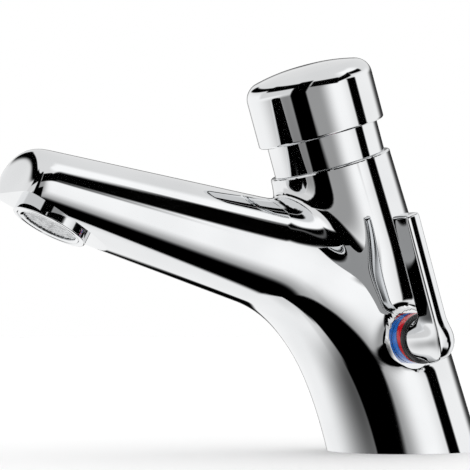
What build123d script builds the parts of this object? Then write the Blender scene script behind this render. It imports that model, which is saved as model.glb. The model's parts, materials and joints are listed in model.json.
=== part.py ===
from build123d import *
import math
import os

# Push timed basin mixer on one leaning column: a cast swan-neck body, a push button over a timed
# cartridge, and a side lever over a mixing barrel. Millimetres and degrees.
# Origin: centre of the foot on the deck. -Y is the spout, +X the lever side, +Z up.

os.makedirs("parts", exist_ok=True)

# Clearances and shared small sizes
running_gap = 0.08        # round the turning stem, barrel and plunger, on the radius
static_gap = 0.1          # between a fixed piece and the bore that holds it
free_gap = 0.3            # between pieces that never touch
cut_overrun = 1.0         # how far a cut runs past the face that it opens
edge_break = 0.4          # small chamfer on turned edges

# Column, measured along its own leaning axis from the origin
column_lean = 17.0
foot_radius = 23.0
collar_radius = 19.6
collar_chamfer = 0.6

# Foot
foot_recess_radius = 19.0
foot_recess_depth = 3.0
gasket_width = 2.2
inlet_spacing = 13.6
inlet_thread_radius = 4.5
inlet_thread_depth = 11.0
inlet_passage_radius = 2.2
stud_setback = 11.0
stud_radius = 4.0
stud_hole_depth = 9.0
stud_length = 62.0
deck_thickness = 20.0
horseshoe_radius = 24.0
horseshoe_slot_width = 28.0
horseshoe_slot_end = 4.0
horseshoe_gasket_thickness = 3.0
horseshoe_plate_thickness = 2.5
stud_nut_flats = 13.0
stud_nut_thickness = 6.5

# Spout side view: a straight top line and a straight underside that sweeps into the foot
shoulder_drop = 7.4       # from the collar down the column to the spout's top line
top_rise = 9.9
bend_reach = 60.0
root_depth = 34.15        # upright depth of the spout where its underside begins to bend
under_rise = 18.5
bend_radii = (38.0, 75.0, 110.0)
bend_turns = (30.0, 13.0, 15.0)
tip_reach = 140.8
tip_rounding = 7.0
tip_lean = 23.0
tip_half_width = 17.0
neck_half_width = 20.0
neck_handle_share = 0.585
tip_rounding_share = 0.85  # of the tightest curve of the tip's oval

# Outlet
outlet_setback = 16.7
landing_depth = 3.65
outlet_tilt = 28.7
outlet_bore_radius = 11.0
outlet_bore_depth = 9.5
waterway_radius = 6.5
aerator_flange_radius = 12.0
aerator_flange_height = 3.0
aerator_bore_radius = 9.6
aerator_lip = 0.8
aerator_lip_height = 0.7
straightener_thickness = 3.5
straightener_hole_radius = 0.75
straightener_ring_pitch = 2.3
straightener_ring_count = 3
regulator_thickness = 3.0
regulator_hole_radius = 0.8
regulator_hole_circle = 5.5
outlet_washer_thickness = 1.5
outlet_washer_width = 2.6

# Timed cartridge and the column bores that hold it, lengths along the column axis
thread_bore_radius = 15.6
bonnet_thread_length = 10.4
cartridge_bore_radius = 14.0
seat_chamber_radius = 8.2
seat_chamber_wall = 1.1
mixed_passage_radius = 2.4
seat_gasket_thickness = 1.0
valve_seat_thickness = 3.5
valve_seat_hole_radius = 5.0
sleeve_chamber_radius = 11.3
timing_clearance = 0.8
sleeve_outlet_length = 10.0
sleeve_floor_thickness = 3.0
window_inset = 1.5
window_height = 7.0
window_width = 9.0
window_count = 4
plunger_radius = 3.0
plunger_seating = 3.0
valve_washer_radius = 6.6
valve_washer_thickness = 2.0
washer_nut_flats = 9.0
washer_nut_thickness = 2.2
piston_thickness = 5.0
piston_inset = 0.5
piston_rim_height = 1.6
piston_web_radius = 5.0
cup_disc_thickness = 1.2
cup_lip_height = 1.0
cup_lip_width = 1.2
ring_seal_section = 0.95       # radius of the round section of the large ring seals
sleeve_seal_inset = 3.0

# Bonnet, the plain neck under the button
bonnet_radius = 18.0
bonnet_neck_length = 17.1
bonnet_floor_rise = 1.6
bonnet_cavity_radius = 11.0
bonnet_seal_inset = 3.0
bonnet_web = 0.8
guide_bush_radius = 5.5
stem_seal_radius = 6.0
stem_seal_thickness = 2.2

# Push button
button_radius = 20.5
button_stand = 10.1
button_roof = 2.1
button_corner_radius = 3.4
button_crown = 1.2
button_skirt_rounding = 0.8
button_clearance = 2.0
button_travel = 5.0

# Return spring
spring_radius = 7.6
spring_wire_radius = 0.6
spring_turns = 5

# Side lever and mixing barrel, distances from the column axis along +X
pivot_height = 38.2
boss_face = 23.4
boss_radius = 8.4
boss_flare = 4.0
mixing_bore_radius = 7.0
mixing_bore_end = 13.0
mixing_sleeve_wall = 1.9
mixing_seal_section = 0.7
mixing_seal_land = 0.6
barrel_bore_radius = 3.0
barrel_inset = 0.3
barrel_slot_width = 3.6
barrel_slot_depth = 2.6
stem_radius = 4.0
stem_seating = 7.0
retaining_nut_length = 8.1
stop_dog_height = 2.8
stop_dog_inner_radius = 5.0
stop_dog_outer_radius = 6.3
stop_lug_span = 60.0
lever_swing = 45.0
stop_play = 4.0
temperature_ring_radius = 8.0
temperature_ring_inner_radius = 6.6
temperature_ring_width = 6.0
hub_radius = 7.6
hub_length = 10.9
hub_rounding = 6.6
lever_length = 13.5
arm_thickness = 9.4
arm_width = 5.6
arm_length = 40.0
arm_flare = 7.0
arm_flare_depth = 1.4
arm_foot_rise = 0.4        # of the arm's foot over the lowest line of the hub
arm_edge = 0.7
lever_corner_radius = 8.0
grub_radius = 2.0
grub_socket_radius = 1.1
grub_socket_depth = 1.2

# Directions and planes
lean_sine = math.sin(math.radians(column_lean))
lean_cosine = math.cos(math.radians(column_lean))
across = Vector(1, 0, 0)
up_column = Vector(0, -lean_sine, lean_cosine)
behind = Vector(0, lean_cosine, lean_sine)
column_axis = Axis((0, 0, 0), up_column)
axial_plane = Plane(origin=(0, 0, 0), x_dir=across, z_dir=-behind)
pivot = up_column * pivot_height
pivot_axis = Axis(pivot, across)
pivot_side_view = Plane(origin=pivot, x_dir=across, z_dir=-behind)
outlet_sine = math.sin(math.radians(outlet_tilt))
outlet_cosine = math.cos(math.radians(outlet_tilt))
outlet_direction = Vector(0, -outlet_sine, -outlet_cosine)

# Heights along the column axis: the timed cartridge stands over the mixing bore, the bonnet and button on it
seat_chamber_base = pivot_height + mixing_bore_radius + seat_chamber_wall
plunger_base = seat_chamber_base + button_travel + free_gap
washer_top = plunger_base + static_gap + washer_nut_thickness + valve_washer_thickness
seat_base = washer_top + static_gap
seat_shelf_height = seat_base - seat_gasket_thickness
sleeve_base = seat_base + valve_seat_thickness
window_middle = sleeve_base + window_inset + window_height / 2
sleeve_floor_height = sleeve_base + sleeve_outlet_length
lowest_cup_height = sleeve_floor_height + sleeve_floor_thickness + timing_clearance
piston_base = lowest_cup_height + button_travel + cup_lip_height + cup_disc_thickness
piston_top_height = piston_base + piston_thickness
sleeve_top_height = piston_top_height + piston_inset
sleeve_seal_heights = (sleeve_floor_height + sleeve_floor_thickness / 2, sleeve_top_height - sleeve_seal_inset)
collar_height = sleeve_top_height + bonnet_thread_length
bonnet_seal_height = sleeve_top_height + bonnet_seal_inset
bonnet_floor_height = collar_height + bonnet_floor_rise
bush_base = sleeve_top_height + stem_seal_thickness + bonnet_web
bonnet_top_height = collar_height + bonnet_neck_length
button_skirt_height = collar_height + button_stand
button_ceiling_height = bonnet_top_height + button_travel + button_clearance
button_corner_height = button_ceiling_height + button_roof

# Distances from the column axis along +X: the mixing barrel and the lever on its stem
mixing_sleeve_start = mixing_bore_end - free_gap
retaining_nut_face = boss_face - free_gap
mixing_sleeve_end = retaining_nut_face - retaining_nut_length
stop_top = boss_face + temperature_ring_width
hub_face = stop_top + free_gap
hub_end = hub_face + hub_length
lever_face = hub_face + lever_length
arm_inner_face = lever_face - arm_thickness
stem_end = hub_face + stem_seating


def column_plane(height):
    """Plane square to the column at a height along its axis."""
    return Plane(origin=up_column * height, x_dir=across, z_dir=up_column)


def lever_plane(distance):
    """Plane square to the lever's pivot; its x runs to the rear and its y up the column."""
    return Plane(origin=pivot + across * distance, x_dir=behind, z_dir=across)


def column_radius(height):
    """Radius of the tapered column at a height along its axis."""
    return foot_radius + (collar_radius - foot_radius) * height / collar_height


def top_line(reach):
    """Point of the spout's top line at a reach from the foot centre; it starts below the collar."""
    start_height = collar_height - shoulder_drop
    start = up_column * start_height - behind * column_radius(start_height)
    return Vector(0, -reach, start.Z + (reach + start.Y) * math.tan(math.radians(top_rise)))


def under_line(reach):
    """Point of the spout's underside at a reach from the foot centre."""
    root_height = top_line(bend_reach).Z - root_depth
    return Vector(0, -reach, root_height + (reach - bend_reach) * math.tan(math.radians(under_rise)))


def outlet_plane(distance):
    """Plane square to the outlet, at a distance out of the landing."""
    landing_centre = under_line(tip_reach - outlet_setback) + Vector(0, 0, landing_depth)
    return Plane(origin=landing_centre + outlet_direction * distance, x_dir=across, z_dir=outlet_direction)


def section_depth(lower, lean):
    """Depth of the spout from an underside point up to the top line, square to a leaning line."""
    rise = math.tan(math.radians(top_rise))
    tilt = math.radians(lean)
    return (top_line(-lower.Y).Z - lower.Z) / (math.cos(tilt) + math.sin(tilt) * rise)


def section_plane(lower, lean, depth):
    """Plane across the swan neck; its y runs down to the underside point."""
    upward = Vector(0, math.sin(math.radians(lean)), math.cos(math.radians(lean)))
    return Plane(origin=lower + upward * (depth / 2), x_dir=across, z_dir=across.cross(upward))


def oval(half_width, half_height):
    """Closed oval of four curves, a little squarer than an ellipse."""
    east = (half_width, 0)
    north = (0, half_height)
    west = (-half_width, 0)
    south = (0, -half_height)
    wide = half_width * neck_handle_share
    tall = half_height * neck_handle_share
    Bezier(east, (half_width, tall), (wide, half_height), north)
    Bezier(north, (-wide, half_height), (-half_width, tall), west)
    Bezier(west, (-half_width, -tall), (-wide, -half_height), south)
    Bezier(south, (wide, -half_height), (half_width, -tall), east)


def sector(inner_radius, outer_radius, middle_angle, span):
    """Flat piece of a ring, centred on an angle."""
    start_angle = middle_angle - span / 2
    outer = CenterArc((0, 0), outer_radius, start_angle, span)
    inner = CenterArc((0, 0), inner_radius, start_angle, span)
    Line(inner @ 0, outer @ 0)
    Line(inner @ 1, outer @ 1)


# Swan neck: the sections of the straight spout, and where its underside begins to bend down
foot_trim = foot_radius * math.tan(math.radians(column_lean)) + cut_overrun
tip_under = under_line(tip_reach) + Vector(0, -tip_rounding / 2, 0)
tip_depth = section_depth(tip_under, tip_lean)
tip_handle = tip_depth / 2 * neck_handle_share
tip_side_radius = tip_handle ** 2 * 3 / (tip_half_width * (1 - neck_handle_share) * 2)
neck_start = under_line(bend_reach)
neck_depth = section_depth(neck_start, under_rise)

# Places that more than one piece uses
inlet_line = (pivot - up_column * mixing_bore_radius).Y
inlet_places = ((-inlet_spacing / 2, inlet_line), (inlet_spacing / 2, inlet_line))
waterway_start = up_column * window_middle
waterway_end = outlet_plane(-outlet_bore_depth).origin
grub_place = (hub_face + stem_end) / 2
grub_plane = Plane(origin=pivot + across * grub_place, x_dir=across, z_dir=behind)
grub_length = hub_radius - stem_radius - grub_socket_depth / 2

# Body: column, swan neck and boss as one casting, with its bores
with BuildPart() as body:
    with BuildSketch(section_plane(tip_under, tip_lean, tip_depth)):
        with BuildLine():
            oval(tip_half_width, tip_depth / 2)
        make_face()
    with BuildSketch(section_plane(neck_start, under_rise, neck_depth)):
        with BuildLine():
            oval(neck_half_width, neck_depth / 2)
        make_face()
    loft(ruled=True)
    tip_face = body.faces().filter_by(GeomType.PLANE).sort_by(Axis.Y)[0]
    fillet(tip_face.edges(), radius=min(tip_rounding, tip_side_radius * tip_rounding_share))
    bend_point = neck_start
    bend_slope = under_rise
    for bend_radius, bend_turn in zip(bend_radii, bend_turns):
        with BuildSketch(section_plane(bend_point, bend_slope, neck_depth)):
            with BuildLine():
                oval(neck_half_width, neck_depth / 2)
            make_face()
        slope = math.radians(bend_slope)
        bend_centre = bend_point - Vector(0, math.sin(slope), math.cos(slope)) * bend_radius
        revolve(axis=Axis(bend_centre, -across), revolution_arc=bend_turn)
        bend_slope = bend_slope + bend_turn
        slope = math.radians(bend_slope)
        bend_point = bend_centre + Vector(0, math.sin(slope), math.cos(slope)) * bend_radius
    with BuildSketch(axial_plane):
        with BuildLine():
            Polyline(
                (0, -foot_trim),
                (column_radius(-foot_trim), -foot_trim),
                (collar_radius, collar_height - collar_chamfer),
                (collar_radius - collar_chamfer, collar_height),
                (0, collar_height),
                close=True,
            )
        make_face()
    revolve(axis=column_axis)
    with BuildSketch(pivot_side_view):
        with BuildLine():
            flare_root = (boss_face - boss_flare, boss_radius + boss_flare)
            flare_top = (boss_face, boss_radius)
            Polyline(flare_top, (boss_face, 0), (0, 0), (0, boss_radius + boss_flare), flare_root)
            RadiusArc(flare_root, flare_top, boss_flare)
        make_face()
    revolve(axis=pivot_axis)
    with BuildSketch(outlet_plane(0)):
        Rectangle(neck_half_width * 3, tip_reach / 2)
    extrude(amount=neck_half_width, mode=Mode.SUBTRACT)
    with BuildSketch(Plane.XY):
        Rectangle(tip_reach, tip_reach)
    extrude(amount=-foot_radius, mode=Mode.SUBTRACT)
    # Foot: recess, inlet threads and the passages up to the mixing bore, stud hole
    with BuildSketch(Plane.XY):
        Circle(foot_recess_radius)
    extrude(amount=foot_recess_depth, mode=Mode.SUBTRACT)
    with BuildSketch(Plane.XY):
        with Locations(*inlet_places):
            Circle(inlet_thread_radius)
    extrude(amount=foot_recess_depth + inlet_thread_depth, mode=Mode.SUBTRACT)
    with BuildSketch(Plane.XY):
        with Locations(*inlet_places):
            Circle(inlet_passage_radius)
    extrude(amount=pivot.Z, mode=Mode.SUBTRACT)
    with BuildSketch(Plane.XY):
        with Locations((0, stud_setback)):
            Circle(stud_radius)
    extrude(amount=foot_recess_depth + stud_hole_depth, mode=Mode.SUBTRACT)
    # Column: thread for the bonnet, bore for the timed cartridge, chamber under its seat
    with BuildSketch(column_plane(sleeve_top_height)):
        Circle(thread_bore_radius)
    extrude(amount=collar_height - sleeve_top_height + cut_overrun, mode=Mode.SUBTRACT)
    with BuildSketch(column_plane(seat_shelf_height)):
        Circle(cartridge_bore_radius)
    extrude(amount=sleeve_top_height - seat_shelf_height, mode=Mode.SUBTRACT)
    with BuildSketch(column_plane(seat_chamber_base)):
        Circle(seat_chamber_radius)
    extrude(amount=seat_shelf_height - seat_chamber_base, mode=Mode.SUBTRACT)
    with BuildSketch(column_plane(pivot_height)):
        Circle(mixed_passage_radius)
    extrude(amount=seat_chamber_base - pivot_height, mode=Mode.SUBTRACT)
    # Side: bore for the mixing sleeve
    with BuildSketch(lever_plane(-mixing_bore_end)):
        Circle(mixing_bore_radius)
    extrude(amount=mixing_bore_end + boss_face, mode=Mode.SUBTRACT)
    # Spout: waterway from the timed cartridge to the outlet bore
    with BuildSketch(outlet_plane(-outlet_bore_depth)):
        Circle(outlet_bore_radius)
    extrude(amount=outlet_bore_depth, mode=Mode.SUBTRACT)
    with BuildSketch(Plane(origin=waterway_start, x_dir=across, z_dir=waterway_end - waterway_start)):
        Circle(waterway_radius)
    extrude(amount=(waterway_end - waterway_start).length, mode=Mode.SUBTRACT)
body.part.label = "body"
export_step(body.part, "parts/body.step")

# Foot gasket: flat ring pressed into the rim of the recess
with BuildPart() as foot_gasket:
    with BuildSketch(Plane.XY):
        Circle(foot_recess_radius)
        Circle(foot_recess_radius - gasket_width, mode=Mode.SUBTRACT)
    extrude(amount=foot_recess_depth)
foot_gasket.part.label = "foot_gasket"
export_step(foot_gasket.part, "parts/foot_gasket.step")

# Fixing under the deck: stud, horseshoe gasket and plate, nut
with BuildPart() as fixing_stud:
    with BuildSketch(Plane.XY.offset(foot_recess_depth + stud_hole_depth)):
        with Locations((0, stud_setback)):
            Circle(stud_radius)
    extrude(amount=-stud_length)
    chamfer(fixing_stud.edges().filter_by(GeomType.CIRCLE), length=edge_break)
fixing_stud.part.label = "fixing_stud"
export_step(fixing_stud.part, "parts/fixing_stud.step")

with BuildPart() as horseshoe_gasket:
    with BuildSketch(Plane.XY.offset(-deck_thickness)):
        Circle(horseshoe_radius)
        with Locations((0, horseshoe_slot_end - horseshoe_radius)):
            Rectangle(horseshoe_slot_width, horseshoe_radius * 2, mode=Mode.SUBTRACT)
        with Locations((0, stud_setback)):
            Circle(stud_radius + static_gap, mode=Mode.SUBTRACT)
    extrude(amount=-horseshoe_gasket_thickness)
horseshoe_gasket.part.label = "horseshoe_gasket"
export_step(horseshoe_gasket.part, "parts/horseshoe_gasket.step")

plate_top = -deck_thickness - horseshoe_gasket_thickness
with BuildPart() as horseshoe_plate:
    with BuildSketch(Plane.XY.offset(plate_top)):
        Circle(horseshoe_radius)
        with Locations((0, horseshoe_slot_end - horseshoe_radius)):
            Rectangle(horseshoe_slot_width, horseshoe_radius * 2, mode=Mode.SUBTRACT)
        with Locations((0, stud_setback)):
            Circle(stud_radius + static_gap, mode=Mode.SUBTRACT)
    extrude(amount=-horseshoe_plate_thickness)
horseshoe_plate.part.label = "horseshoe_plate"
export_step(horseshoe_plate.part, "parts/horseshoe_plate.step")

with BuildPart() as fixing_nut:
    with BuildSketch(Plane.XY.offset(plate_top - horseshoe_plate_thickness)):
        with Locations((0, stud_setback)):
            RegularPolygon(stud_nut_flats / 2, 6, major_radius=False)
            Circle(stud_radius, mode=Mode.SUBTRACT)
    extrude(amount=-stud_nut_thickness)
fixing_nut.part.label = "fixing_nut"
export_step(fixing_nut.part, "parts/fixing_nut.step")

# Outlet: aerator housing with its flange, flow straightener, flow regulator and washer
housing_top = outlet_bore_depth - outlet_washer_thickness
with BuildPart() as aerator_housing:
    with BuildSketch(outlet_plane(0)):
        Circle(aerator_flange_radius)
    extrude(amount=aerator_flange_height)
    chamfer(aerator_housing.faces().filter_by(GeomType.PLANE).sort_by(Axis.Z)[0].edges(), length=edge_break)
    with BuildSketch(outlet_plane(0)):
        Circle(outlet_bore_radius)
    extrude(amount=-housing_top)
    with BuildSketch(outlet_plane(-housing_top)):
        Circle(aerator_bore_radius)
    extrude(amount=housing_top + aerator_flange_height - aerator_lip_height, mode=Mode.SUBTRACT)
    with BuildSketch(outlet_plane(0)):
        Circle(aerator_bore_radius - aerator_lip)
    extrude(amount=aerator_flange_height + cut_overrun, mode=Mode.SUBTRACT)
aerator_housing.part.label = "aerator_housing"
export_step(aerator_housing.part, "parts/aerator_housing.step")

straightener_face = aerator_flange_height - aerator_lip_height
with BuildPart() as flow_straightener:
    with BuildSketch(outlet_plane(straightener_face)):
        Circle(aerator_bore_radius - static_gap)
        Circle(straightener_hole_radius, mode=Mode.SUBTRACT)
        for ring in range(1, straightener_ring_count + 1):
            with PolarLocations(ring * straightener_ring_pitch, 6 * ring):
                Circle(straightener_hole_radius, mode=Mode.SUBTRACT)
    extrude(amount=-straightener_thickness)
flow_straightener.part.label = "flow_straightener"
export_step(flow_straightener.part, "parts/flow_straightener.step")

with BuildPart() as flow_regulator:
    with BuildSketch(outlet_plane(straightener_face - straightener_thickness)):
        Circle(aerator_bore_radius - static_gap)
        with PolarLocations(regulator_hole_circle, 6):
            Circle(regulator_hole_radius, mode=Mode.SUBTRACT)
    extrude(amount=-regulator_thickness)
flow_regulator.part.label = "flow_regulator"
export_step(flow_regulator.part, "parts/flow_regulator.step")

with BuildPart() as outlet_washer:
    with BuildSketch(outlet_plane(-housing_top)):
        Circle(outlet_bore_radius)
        Circle(outlet_bore_radius - outlet_washer_width, mode=Mode.SUBTRACT)
    extrude(amount=-outlet_washer_thickness)
outlet_washer.part.label = "outlet_washer"
export_step(outlet_washer.part, "parts/outlet_washer.step")

# Timed cartridge: seat gasket, valve seat, sleeve with its windows, ring seals
with BuildPart() as seat_gasket:
    with BuildSketch(column_plane(seat_shelf_height)):
        Circle(cartridge_bore_radius - static_gap)
        Circle(seat_chamber_radius, mode=Mode.SUBTRACT)
    extrude(amount=seat_gasket_thickness)
seat_gasket.part.label = "seat_gasket"
export_step(seat_gasket.part, "parts/seat_gasket.step")

with BuildPart() as valve_seat:
    with BuildSketch(column_plane(seat_base)):
        Circle(cartridge_bore_radius - static_gap)
        Circle(valve_seat_hole_radius, mode=Mode.SUBTRACT)
    extrude(amount=valve_seat_thickness)
    chamfer(valve_seat.edges().filter_by(GeomType.CIRCLE).group_by(SortBy.RADIUS)[0], length=edge_break)
valve_seat.part.label = "valve_seat"
export_step(valve_seat.part, "parts/valve_seat.step")

sleeve_radius = cartridge_bore_radius - static_gap
with BuildPart() as cartridge_sleeve:
    with BuildSketch(column_plane(sleeve_base)):
        Circle(sleeve_radius)
        Circle(sleeve_chamber_radius, mode=Mode.SUBTRACT)
    extrude(amount=sleeve_top_height - sleeve_base)
    with BuildSketch(column_plane(sleeve_floor_height)):
        Circle(sleeve_radius)
        Circle(plunger_radius + free_gap, mode=Mode.SUBTRACT)
    extrude(amount=sleeve_floor_thickness)
    for seal_height in sleeve_seal_heights:
        with BuildSketch(column_plane(seal_height - ring_seal_section)):
            Circle(sleeve_radius + cut_overrun)
            Circle(cartridge_bore_radius - ring_seal_section * 2, mode=Mode.SUBTRACT)
        extrude(amount=ring_seal_section * 2, mode=Mode.SUBTRACT)
    for window in range(window_count):
        window_angle = math.radians(360 * window / window_count)
        window_outward = across * math.sin(window_angle) - behind * math.cos(window_angle)
        with BuildSketch(Plane(origin=waterway_start, x_dir=up_column, z_dir=window_outward)):
            Rectangle(window_height, window_width)
        extrude(amount=cartridge_bore_radius, mode=Mode.SUBTRACT)
cartridge_sleeve.part.label = "cartridge_sleeve"
export_step(cartridge_sleeve.part, "parts/cartridge_sleeve.step")

with BuildPart() as sleeve_ring_seals:
    for seal_height in sleeve_seal_heights:
        with BuildSketch(axial_plane):
            with Locations((cartridge_bore_radius - ring_seal_section, seal_height)):
                Circle(ring_seal_section)
        revolve(axis=column_axis)
sleeve_ring_seals.part.label = "sleeve_ring_seals"
export_step(sleeve_ring_seals.part, "parts/sleeve_ring_seals.step")

# Bonnet: screws into the column, holds the sleeve down and guides the plunger
with BuildPart() as bonnet:
    with BuildSketch(axial_plane):
        with BuildLine():
            Polyline(
                (plunger_radius + free_gap, sleeve_top_height),
                (thread_bore_radius - edge_break, sleeve_top_height),
                (thread_bore_radius, sleeve_top_height + edge_break),
                (thread_bore_radius, collar_height),
                (bonnet_radius, collar_height),
                (bonnet_radius, bonnet_top_height - edge_break),
                (bonnet_radius - edge_break, bonnet_top_height),
                (bonnet_cavity_radius, bonnet_top_height),
                (bonnet_cavity_radius, bonnet_floor_height),
                (plunger_radius + free_gap, bonnet_floor_height),
                close=True,
            )
        make_face()
    revolve(axis=column_axis)
    with BuildSketch(column_plane(sleeve_top_height)):
        Circle(stem_seal_radius)
    extrude(amount=stem_seal_thickness, mode=Mode.SUBTRACT)
    with BuildSketch(column_plane(bush_base)):
        Circle(guide_bush_radius)
    extrude(amount=bonnet_floor_height - bush_base, mode=Mode.SUBTRACT)
    with BuildSketch(column_plane(bonnet_seal_height - ring_seal_section)):
        Circle(thread_bore_radius + cut_overrun)
        Circle(thread_bore_radius - ring_seal_section * 2, mode=Mode.SUBTRACT)
    extrude(amount=ring_seal_section * 2, mode=Mode.SUBTRACT)
bonnet.part.label = "bonnet"
export_step(bonnet.part, "parts/bonnet.step")

with BuildPart() as bonnet_ring_seal:
    with BuildSketch(axial_plane):
        with Locations((thread_bore_radius - ring_seal_section, bonnet_seal_height)):
            Circle(ring_seal_section)
    revolve(axis=column_axis)
bonnet_ring_seal.part.label = "bonnet_ring_seal"
export_step(bonnet_ring_seal.part, "parts/bonnet_ring_seal.step")

with BuildPart() as guide_bush:
    with BuildSketch(column_plane(bush_base)):
        Circle(guide_bush_radius)
        Circle(plunger_radius + running_gap, mode=Mode.SUBTRACT)
    extrude(amount=bonnet_floor_height - bush_base)
guide_bush.part.label = "guide_bush"
export_step(guide_bush.part, "parts/guide_bush.step")

with BuildPart() as stem_seal:
    with BuildSketch(column_plane(sleeve_top_height)):
        Circle(stem_seal_radius)
        Circle(plunger_radius + running_gap, mode=Mode.SUBTRACT)
    extrude(amount=stem_seal_thickness)
stem_seal.part.label = "stem_seal"
export_step(stem_seal.part, "parts/stem_seal.step")

# Return spring: one wire of tangent arcs, two to each quarter turn, between bonnet and button
spring_base = bonnet_floor_height + spring_wire_radius
spring_rise = button_ceiling_height - spring_base - spring_wire_radius
spring_slope = spring_rise / (2 * math.pi * spring_turns * spring_radius)
quarter_count = spring_turns * 4


def spring_point(quarter):
    """Point of the spring's centre line after a number of quarter turns."""
    angle = math.pi / 2 * quarter
    out = across * math.cos(angle) + behind * math.sin(angle)
    return up_column * (spring_base + spring_rise * quarter / quarter_count) + out * spring_radius


def spring_direction(quarter):
    """Direction of the wire after a number of quarter turns."""
    angle = math.pi / 2 * quarter
    return (behind * math.cos(angle) - across * math.sin(angle) + up_column * spring_slope).normalized()


with BuildPart() as return_spring:
    with BuildLine() as spring_line:
        for quarter in range(quarter_count):
            start_point = spring_point(quarter)
            end_point = spring_point(quarter + 1)
            start_direction = spring_direction(quarter)
            end_direction = spring_direction(quarter + 1)
            chord = end_point - start_point
            both = start_direction + end_direction
            spare = 2 - 2 * start_direction.dot(end_direction)
            forward = chord.dot(both)
            reach = (math.sqrt(forward ** 2 + spare * chord.dot(chord)) - forward) / spare
            joint_point = (start_point + start_direction * reach + end_point - end_direction * reach) / 2
            first_arc = TangentArc(start_point, joint_point, tangent=start_direction)
            TangentArc(joint_point, end_point, tangent=first_arc % 1)
    with BuildSketch(Plane(origin=spring_point(0), z_dir=spring_direction(0))):
        Circle(spring_wire_radius)
    sweep(path=spring_line.wire())
return_spring.part.label = "return_spring"
export_step(return_spring.part, "parts/return_spring.step")
spring_length = spring_line.wire().length
print("spring wire, volume over section times length",
      return_spring.part.volume / (math.pi * spring_wire_radius ** 2 * spring_length))
print("spring wire, least gap between turns", spring_rise / spring_turns - spring_wire_radius * 2)

# Push button: hollow cap with a crowned top, on the plunger
skirt_inner_radius = bonnet_radius + free_gap
with BuildPart() as push_button:
    with BuildSketch(axial_plane):
        with BuildLine():
            crown_edge = (button_radius - button_corner_radius, button_corner_height + button_corner_radius)
            crown_top = (0, crown_edge[1] + button_crown)
            crown_middle = (crown_edge[0] / 2, crown_edge[1] + button_crown * 3 / 4)
            Line((0, button_ceiling_height), crown_top)
            ThreePointArc(crown_top, crown_middle, crown_edge)
            RadiusArc(crown_edge, (button_radius, button_corner_height), button_corner_radius)
            Polyline(
                (button_radius, button_corner_height),
                (button_radius, button_skirt_height),
                (skirt_inner_radius, button_skirt_height),
                (skirt_inner_radius, button_ceiling_height),
                (0, button_ceiling_height),
            )
        make_face()
    revolve(axis=column_axis)
    fillet(push_button.edges().filter_by(GeomType.CIRCLE).sort_by(column_axis)[:2].sort_by(SortBy.RADIUS)[-1:],
           radius=button_skirt_rounding)
    with BuildSketch(column_plane(button_ceiling_height)):
        Circle(plunger_radius)
    extrude(amount=plunger_seating, mode=Mode.SUBTRACT)
push_button.part.label = "push_button"
export_step(push_button.part, "parts/push_button.step")

with BuildPart() as plunger:
    with BuildSketch(column_plane(plunger_base)):
        Circle(plunger_radius)
    extrude(amount=button_ceiling_height + plunger_seating - plunger_base)
    chamfer(plunger.edges().filter_by(GeomType.CIRCLE).sort_by(Axis.Z)[0], length=edge_break)
plunger.part.label = "plunger"
export_step(plunger.part, "parts/plunger.step")

# Piston and cup seal in the timing chamber
piston_radius = sleeve_chamber_radius - free_gap
with BuildPart() as timing_piston:
    with BuildSketch(axial_plane):
        with BuildLine():
            Polyline(
                (plunger_radius, piston_base),
                (piston_radius, piston_base),
                (piston_radius, piston_base + piston_rim_height),
                (piston_web_radius, piston_base + piston_rim_height),
                (piston_web_radius, piston_top_height),
                (plunger_radius, piston_top_height),
                close=True,
            )
        make_face()
    revolve(axis=column_axis)
timing_piston.part.label = "timing_piston"
export_step(timing_piston.part, "parts/timing_piston.step")

with BuildPart() as cup_seal:
    with BuildSketch(axial_plane):
        with BuildLine():
            Polyline(
                (plunger_radius, piston_base),
                (plunger_radius, piston_base - cup_disc_thickness),
                (piston_radius - cup_lip_width, piston_base - cup_disc_thickness),
                (piston_radius - cup_lip_width / 2, piston_base - cup_disc_thickness - cup_lip_height),
                (piston_radius, piston_base - cup_disc_thickness - cup_lip_height),
                (piston_radius, piston_base),
                close=True,
            )
        make_face()
    revolve(axis=column_axis)
cup_seal.part.label = "cup_seal"
export_step(cup_seal.part, "parts/cup_seal.step")

# Valve washer under the seat, held by a nut on the plunger
with BuildPart() as valve_washer:
    with BuildSketch(column_plane(washer_top)):
        Circle(valve_washer_radius)
        Circle(plunger_radius, mode=Mode.SUBTRACT)
    extrude(amount=-valve_washer_thickness)
valve_washer.part.label = "valve_washer"
export_step(valve_washer.part, "parts/valve_washer.step")

with BuildPart() as washer_nut:
    with BuildSketch(column_plane(washer_top - valve_washer_thickness)):
        RegularPolygon(washer_nut_flats / 2, 6, major_radius=False)
        Circle(plunger_radius, mode=Mode.SUBTRACT)
    extrude(amount=-washer_nut_thickness)
washer_nut.part.label = "washer_nut"
export_step(washer_nut.part, "parts/washer_nut.step")

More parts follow.
